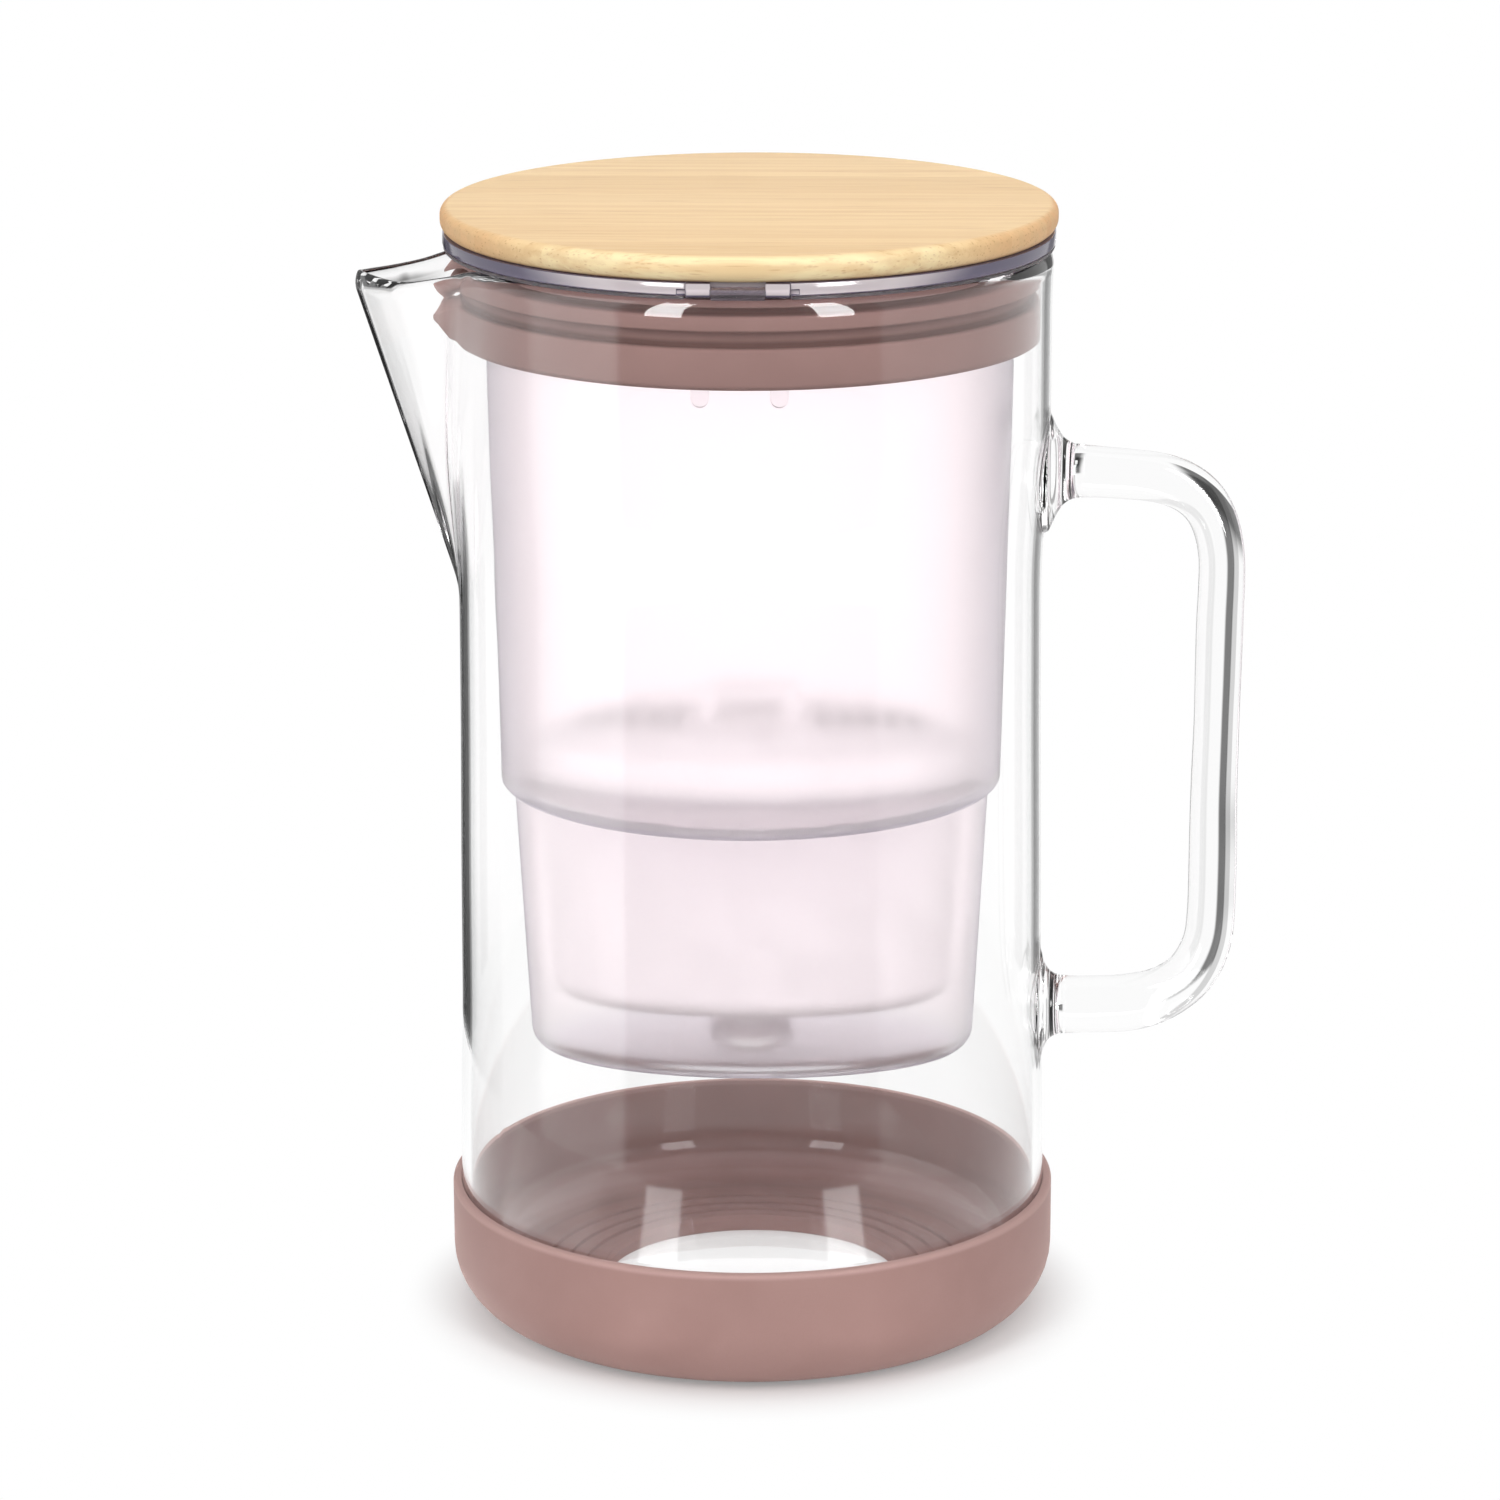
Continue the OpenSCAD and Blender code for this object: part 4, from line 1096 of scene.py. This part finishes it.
def arch_line():
    """The side view of the pull: a low bridge with soft shoulders."""
    return soften([(-11, 134.6, 0), (-10.6, 142.7, 1.6), (10.6, 142.7, 1.6), (11, 134.6, 0), (8, 134.6, 0),
                   (7.8, 140.5, 0.8), (-7.8, 140.5, 0.8), (-8, 134.6, 0)], steps=5)


def bridge_piece():
    line = arch_line()
    work = bmesh.new()
    front = [work.verts.new((x * MM, -3.5 * MM, z * MM)) for x, z in line]
    face = work.faces.new(front)
    push = bmesh.ops.extrude_face_region(work, geom=[face])
    moved = [v for v in push["geom"] if isinstance(v, bmesh.types.BMVert)]
    bmesh.ops.translate(work, vec=(0, 7 * MM, 0), verts=moved)
    bmesh.ops.recalc_face_normals(work, faces=work.faces)
    mesh = bpy.data.meshes.new("bridge")
    work.to_mesh(mesh)
    work.free()
    mesh.materials.append(white_plastic)
    return show("bridge", mesh)


def dome_piece():
    top = soften([(50, 126.15, 0.3), (47, 131.5, 3.0), (38.4, 135.5, 6.0), (0, 135.5, 0)], closed=False, steps=7)
    low = soften([(0, 134, 0), (37.8, 134, 5), (45.6, 130.6, 2.5), (48.5, 126.15, 0)], closed=False, steps=7)
    width = lambda r, z: max(r - 22.0, 0.42 * r)
    rings = ovals(low, width) + ovals(top, width)
    return make_piece("dome", *skin(rings, closed=False), white_plastic, sharp=40)


dome = dome_piece()
dome_mesh = dome.data
bpy.data.objects.remove(dome)
slit = block("slit", (-0.8, -7.5, 127), (0.8, 7.5, 138), white_plastic)
cap = grow("cartridge_cap_slit", cap_tree(), {"Slits": 5, "Pitch": 5 * MM, "First": 16 * MM, "Slit": slit,
                                               "Finish": white_plastic}, dome_mesh)
bpy.data.objects.remove(slit)
carve(cap, [bridge_piece()], "UNION", sharp=40)
belongs(cap, "cartridge", "white_plastic", "cartridge_cap")

# %% [markdown]
# ## Camera
# A long lens from a little above: the ellipses of the lid and the foot stay shallow and the sides of
# the jug stay nearly parallel. The lens is aimed down by a little and turned a little to one side.

# %% The camera
CAMERA_AWAY, CAMERA_HIGH, CAMERA_ASIDE = 1.2106, 0.45884, -0.0002
CAMERA_SIDE, CAMERA_DOWN, CAMERA_ROLL = math.radians(2.1), 0.267256, -0.0033
lens = bpy.data.cameras.new("catalogue view")
lens.lens, lens.sensor_width = 136.14, 36.0
lens.clip_start, lens.clip_end = 0.1, 30.0
camera = show("catalogue view", lens)
camera.matrix_world = (
    Matrix.Rotation(CAMERA_SIDE, 4, "Z") @ Matrix.Translation((CAMERA_ASIDE, -CAMERA_AWAY, CAMERA_HIGH))
    @ Matrix.Rotation(math.pi / 2 - CAMERA_DOWN, 4, "X") @ Matrix.Rotation(CAMERA_ROLL, 4, "Z"))
bpy.context.scene.camera = camera
print("camera at", [round(c, 3) for c in camera.matrix_world.translation])

# %% [markdown]
# ## What stands round the glass
# Clear glass looks like what stands round it, so the room matters as much as the lamps. The room is
# white all round and dimmer in front, where the camera stands. Two tall bright panels beside the
# camera make the highlights. Thin dark strips far behind are bent by the glass's edges into its grey
# outlines. The rule below gives the tone of the room for each direction.

# %% What glass sees round it
# All are ranges in degrees. The strips and walls are bearings from straight behind the object. The
# panels and the front are bearings from straight in front. The HIGH ones are heights.
LEFT_STRIP, RIGHT_STRIP, SIDE_WALL = (-30, -16), (16, 29), (88, 129)
STREAK, STREAK_HIGH = (-17, -4), (-32, -9)
UNDER, UNDER_HIGH = (-62, -5), (-60, -18)
PANEL, PANEL_HIGH = (25, 39), (-6, 54)
FRONT_WIDE, FRONT_NARROW = 51, 21


def directions(recipe, toward):
    """Bearing in degrees, 0 straight behind the object and negative to the left, and height in degrees."""
    x = recipe.axis(toward, "X")
    y = recipe.axis(toward, "Y")
    z = recipe.axis(toward, "Z")
    across = x * math.cos(CAMERA_SIDE) + y * math.sin(CAMERA_SIDE)
    ahead = y * math.cos(CAMERA_SIDE) - x * math.sin(CAMERA_SIDE)
    bearing = recipe.work_out("ARCTAN2", across, ahead) * (180 / math.pi)
    height = recipe.work_out("ARCSINE", z) * (180 / math.pi)
    return bearing, height


def side_light(recipe, bearing):
    """The extra light of the room's two bright side walls, the left one nearer."""
    near, far = SIDE_WALL
    return recipe.between(bearing, -far, -near, 4) + 0.15 * recipe.between(bearing, near, far, 4)


def room_tone(recipe, bearing, height, through_ray, crossings, bounced):
    """What glass and gloss see: 1 is white, 0 is dark, and the two tall panels are far brighter."""
    from_front = 180 - recipe.size(bearing)
    low = recipe.steps(height, -18.6, -20.4, smooth=False)
    reach = FRONT_WIDE - (FRONT_WIDE - FRONT_NARROW) * low
    front = 1 - recipe.steps(from_front, reach - 1.5, reach + 1.5)
    # A ray that crossed one wall, which is two surfaces, also sees two low dark streaks. One that was
    # mirrored inside the glass sees darker strips and a dimmer front.
    one_wall = 1 - recipe.steps(crossings, 2.4, 2.6)
    mirrored = recipe.steps(bounced, 0.4, 0.6)
    left = (0.35 + 0.5 * mirrored) * recipe.between(bearing, *LEFT_STRIP, 1.5)
    right = (0.15 + 0.55 * mirrored) * recipe.between(bearing, *RIGHT_STRIP, 1.5)
    streak = 0.8 * one_wall * recipe.between(bearing, *STREAK, 2) * recipe.between(height, *STREAK_HIGH, 2)
    under = 0.85 * one_wall * recipe.between(bearing, *UNDER, 3) * recipe.between(height, *UNDER_HIGH, 3)
    wall = (1 - left - right - streak) * (1 - under) + side_light(recipe, bearing)
    dim = 0.3 + through_ray * (0.58 - 0.33 * mirrored)
    panels = recipe.between(from_front, *PANEL, 0.3) * recipe.between(height, *PANEL_HIGH, 0.5)
    return wall * (1 - front) + dim * front + (26 - 20 * through_ray) * panels


print("a dim front,", PANEL[1] - PANEL[0], "degrees wide bright panels and thin dark strips far behind")

# %% [markdown]
# ## The floor
# The floor is a white card. Close by it takes the object's shadow, lightened by a painted white glow
# of about a quarter, and further out it glows in the room's plain white, so it has no visible edge.
# Seen through the glass, the floor under the boot's window glows too: painted light where the jug's
# shadow falls. Where it is mirrored in gloss it glows with a painted reflection of the room: dim in
# front, with the two panels standing on it.

# %% The floor
# Out to the first distance the card takes the shadow under a quarter of painted white glow, from the second it
# is plain white, in metres.
SHADE_TO, WHITE_FROM = 0.062, 0.080
FLOOR_R = 225


def make_floor():
    """White card that takes a shadow close by and glows as the room does further out."""
    finish, recipe = new_finish("pale floor")
    spot = recipe.node("ShaderNodeTexCoord", out="Object")
    away = recipe.length(spot)
    bearing = directions(recipe, spot)[0]
    lit = recipe.node("ShaderNodeBsdfDiffuse", {}, {"Color": paint(250, 250, 250)})
    camera_ray = recipe.ray("Is Camera Ray")
    through_ray = recipe.ray("Is Transmission Ray")
    glossy_ray = recipe.ray("Is Glossy Ray") * (1 - through_ray)
    from_front = 180 - recipe.size(bearing)
    reach = recipe.steps(away, 0.100, 0.270, 1, FRONT_WIDE, smooth=False)
    beyond = recipe.steps(from_front - reach, -1.5, 1.5)
    veil = 0.3 + beyond * (0.7 + side_light(recipe, bearing)) * recipe.steps(away, 0.12, 0.21, 1.2, 1.0)
    mirrored = veil + 7 * recipe.between(from_front, 23, 35, 1.0) * recipe.between(away, 0.078, 0.214, 0.004)
    shine = recipe.blend(glossy_ray, (1, 1, 1, 1), recipe.grey(mirrored))
    white = recipe.node("ShaderNodeEmission", {}, {"Color": shine, "Strength": 1.0})
    # Painted light: rays through the glass find the floor under the boot's window glowing, where the jug's
    # shadow falls.
    window = 1 - recipe.steps(away, 0.028, 0.036)
    glow = recipe.steps(away, SHADE_TO, WHITE_FROM, 0.26, 1.0) + through_ray * 0.8 * window
    glow = glow * (camera_ray + through_ray + glossy_ray)
    shader = recipe.node("ShaderNodeMixShader", {}, {0: glow, 1: lit, 2: white})
    recipe.node("ShaderNodeOutputMaterial", {}, {"Surface": shader})
    return finish


floor_rings = turned([(0, 0), (50, 0), (FLOOR_R, 0)], 96)
floor = make_piece("floor", *skin(floor_rings, closed=False), make_floor())
if floor.data.polygons[0].normal.z < 0:
    floor.data.flip_normals()
print("floor:", 2 * FLOOR_R, "mm across, and the room's white goes on from there")

# %% [markdown]
# ## The room
# Each ray of light knows how it came and how many surfaces it crossed. So the camera sees plain
# white, glass and gloss see the tones of the rule above, and plain surfaces take an even soft light.
# Rays that have crossed the milky plastic meet a brighter room, which keeps its deep layers pale.

# %% The room
# The colours are amounts of light, so they may be above 1.
DEEP_TONE, DEEP_LIGHT = (1.36, 1.27, 1.30, 1), (2.45, 2.32, 2.38, 1)
OUTSIDE_LIGHT, INSIDE_LIGHT = (0.52, 0.52, 0.525, 1), (0.86, 0.84, 0.85, 1)
room = bpy.data.worlds.new("white room")
bpy.context.scene.world = room
room.use_nodes = True
room.node_tree.nodes.clear()
room.cycles.sampling_method = "NONE"
recipe = Recipe(room.node_tree)
toward = recipe.node("ShaderNodeTexCoord", out="Generated")
camera_ray, through_ray, scattered, crossings, bounced = [recipe.ray(name) for name in (
    "Is Camera Ray", "Is Transmission Ray", "Diffuse Depth", "Transmission Depth", "Glossy Depth")]
tone = room_tone(recipe, *directions(recipe, toward), through_ray, crossings, bounced)
deep = recipe.steps(crossings, 4.4, 5.6)
tone = recipe.blend(deep, recipe.grey(tone), DEEP_TONE)
soft_light = recipe.blend(recipe.steps(crossings, 0.5, 2), OUTSIDE_LIGHT, INSIDE_LIGHT)
soft_light = recipe.blend(deep, soft_light, DEEP_LIGHT)
tone = recipe.blend(recipe.steps(scattered, 0.4, 0.6), tone, soft_light)
colour = recipe.blend(camera_ray, tone, (1, 1, 1, 1))
back = recipe.node("ShaderNodeBackground", {}, {"Color": colour, "Strength": 1.0})
recipe.node("ShaderNodeOutputWorld", {}, {"Surface": back})
print("room ready, with", len(room.node_tree.nodes), "nodes")

# %% [markdown]
# ## Lamps
# Two tall soft lamps stand to the left and right of the camera and one hangs above. They only light
# plain surfaces. Gloss and glass don't show them, because the painted panels stand in their place.

# %% The lamps
def tall_lamp(name, side_degrees, high_degrees, away, width, height, power):
    """A soft lamp that lights surfaces, while the painted panels are what gloss shows."""
    lamp = bpy.data.lights.new(name, "AREA")
    lamp.shape, lamp.size, lamp.size_y = "RECTANGLE", width, height
    lamp.energy = power
    stand = show(name, lamp)
    a, e = math.radians(side_degrees), math.radians(high_degrees)
    back = Vector((math.sin(a) * math.cos(e), -math.cos(a) * math.cos(e), math.sin(e)))
    stand.location = Vector((0, 0, 0.15)) + away * back
    stand.rotation_mode = "QUATERNION"
    stand.rotation_quaternion = back.to_track_quat("Z", "Y")
    stand.visible_glossy = stand.visible_transmission = stand.visible_camera = False
    print(name, "at", [round(v, 2) for v in stand.location])


tall_lamp("left window lamp", -33, 38, 1.3, 0.38, 0.75, 4.3)
tall_lamp("right window lamp", 33, 38, 1.3, 0.38, 0.75, 4.3)
tall_lamp("top lamp", 0, 84, 1.2, 1.0, 1.0, 2.7)

# %% [markdown]
# ## Light paths
# A ray that meets this object may cross the jug's wall, the hopper's wall, the cartridge and all of
# them again on the far side. It needs more steps than usual before it is given up.

# %% Steps for a ray through glass
paths = bpy.context.scene.cycles
paths.max_bounces, paths.transmission_bounces, paths.glossy_bounces = 36, 28, 20
paths.diffuse_bounces, paths.transparent_max_bounces = 4, 32
bpy.context.scene.view_settings.view_transform = "Standard"
print("rays may cross", paths.transmission_bounces, "surfaces")
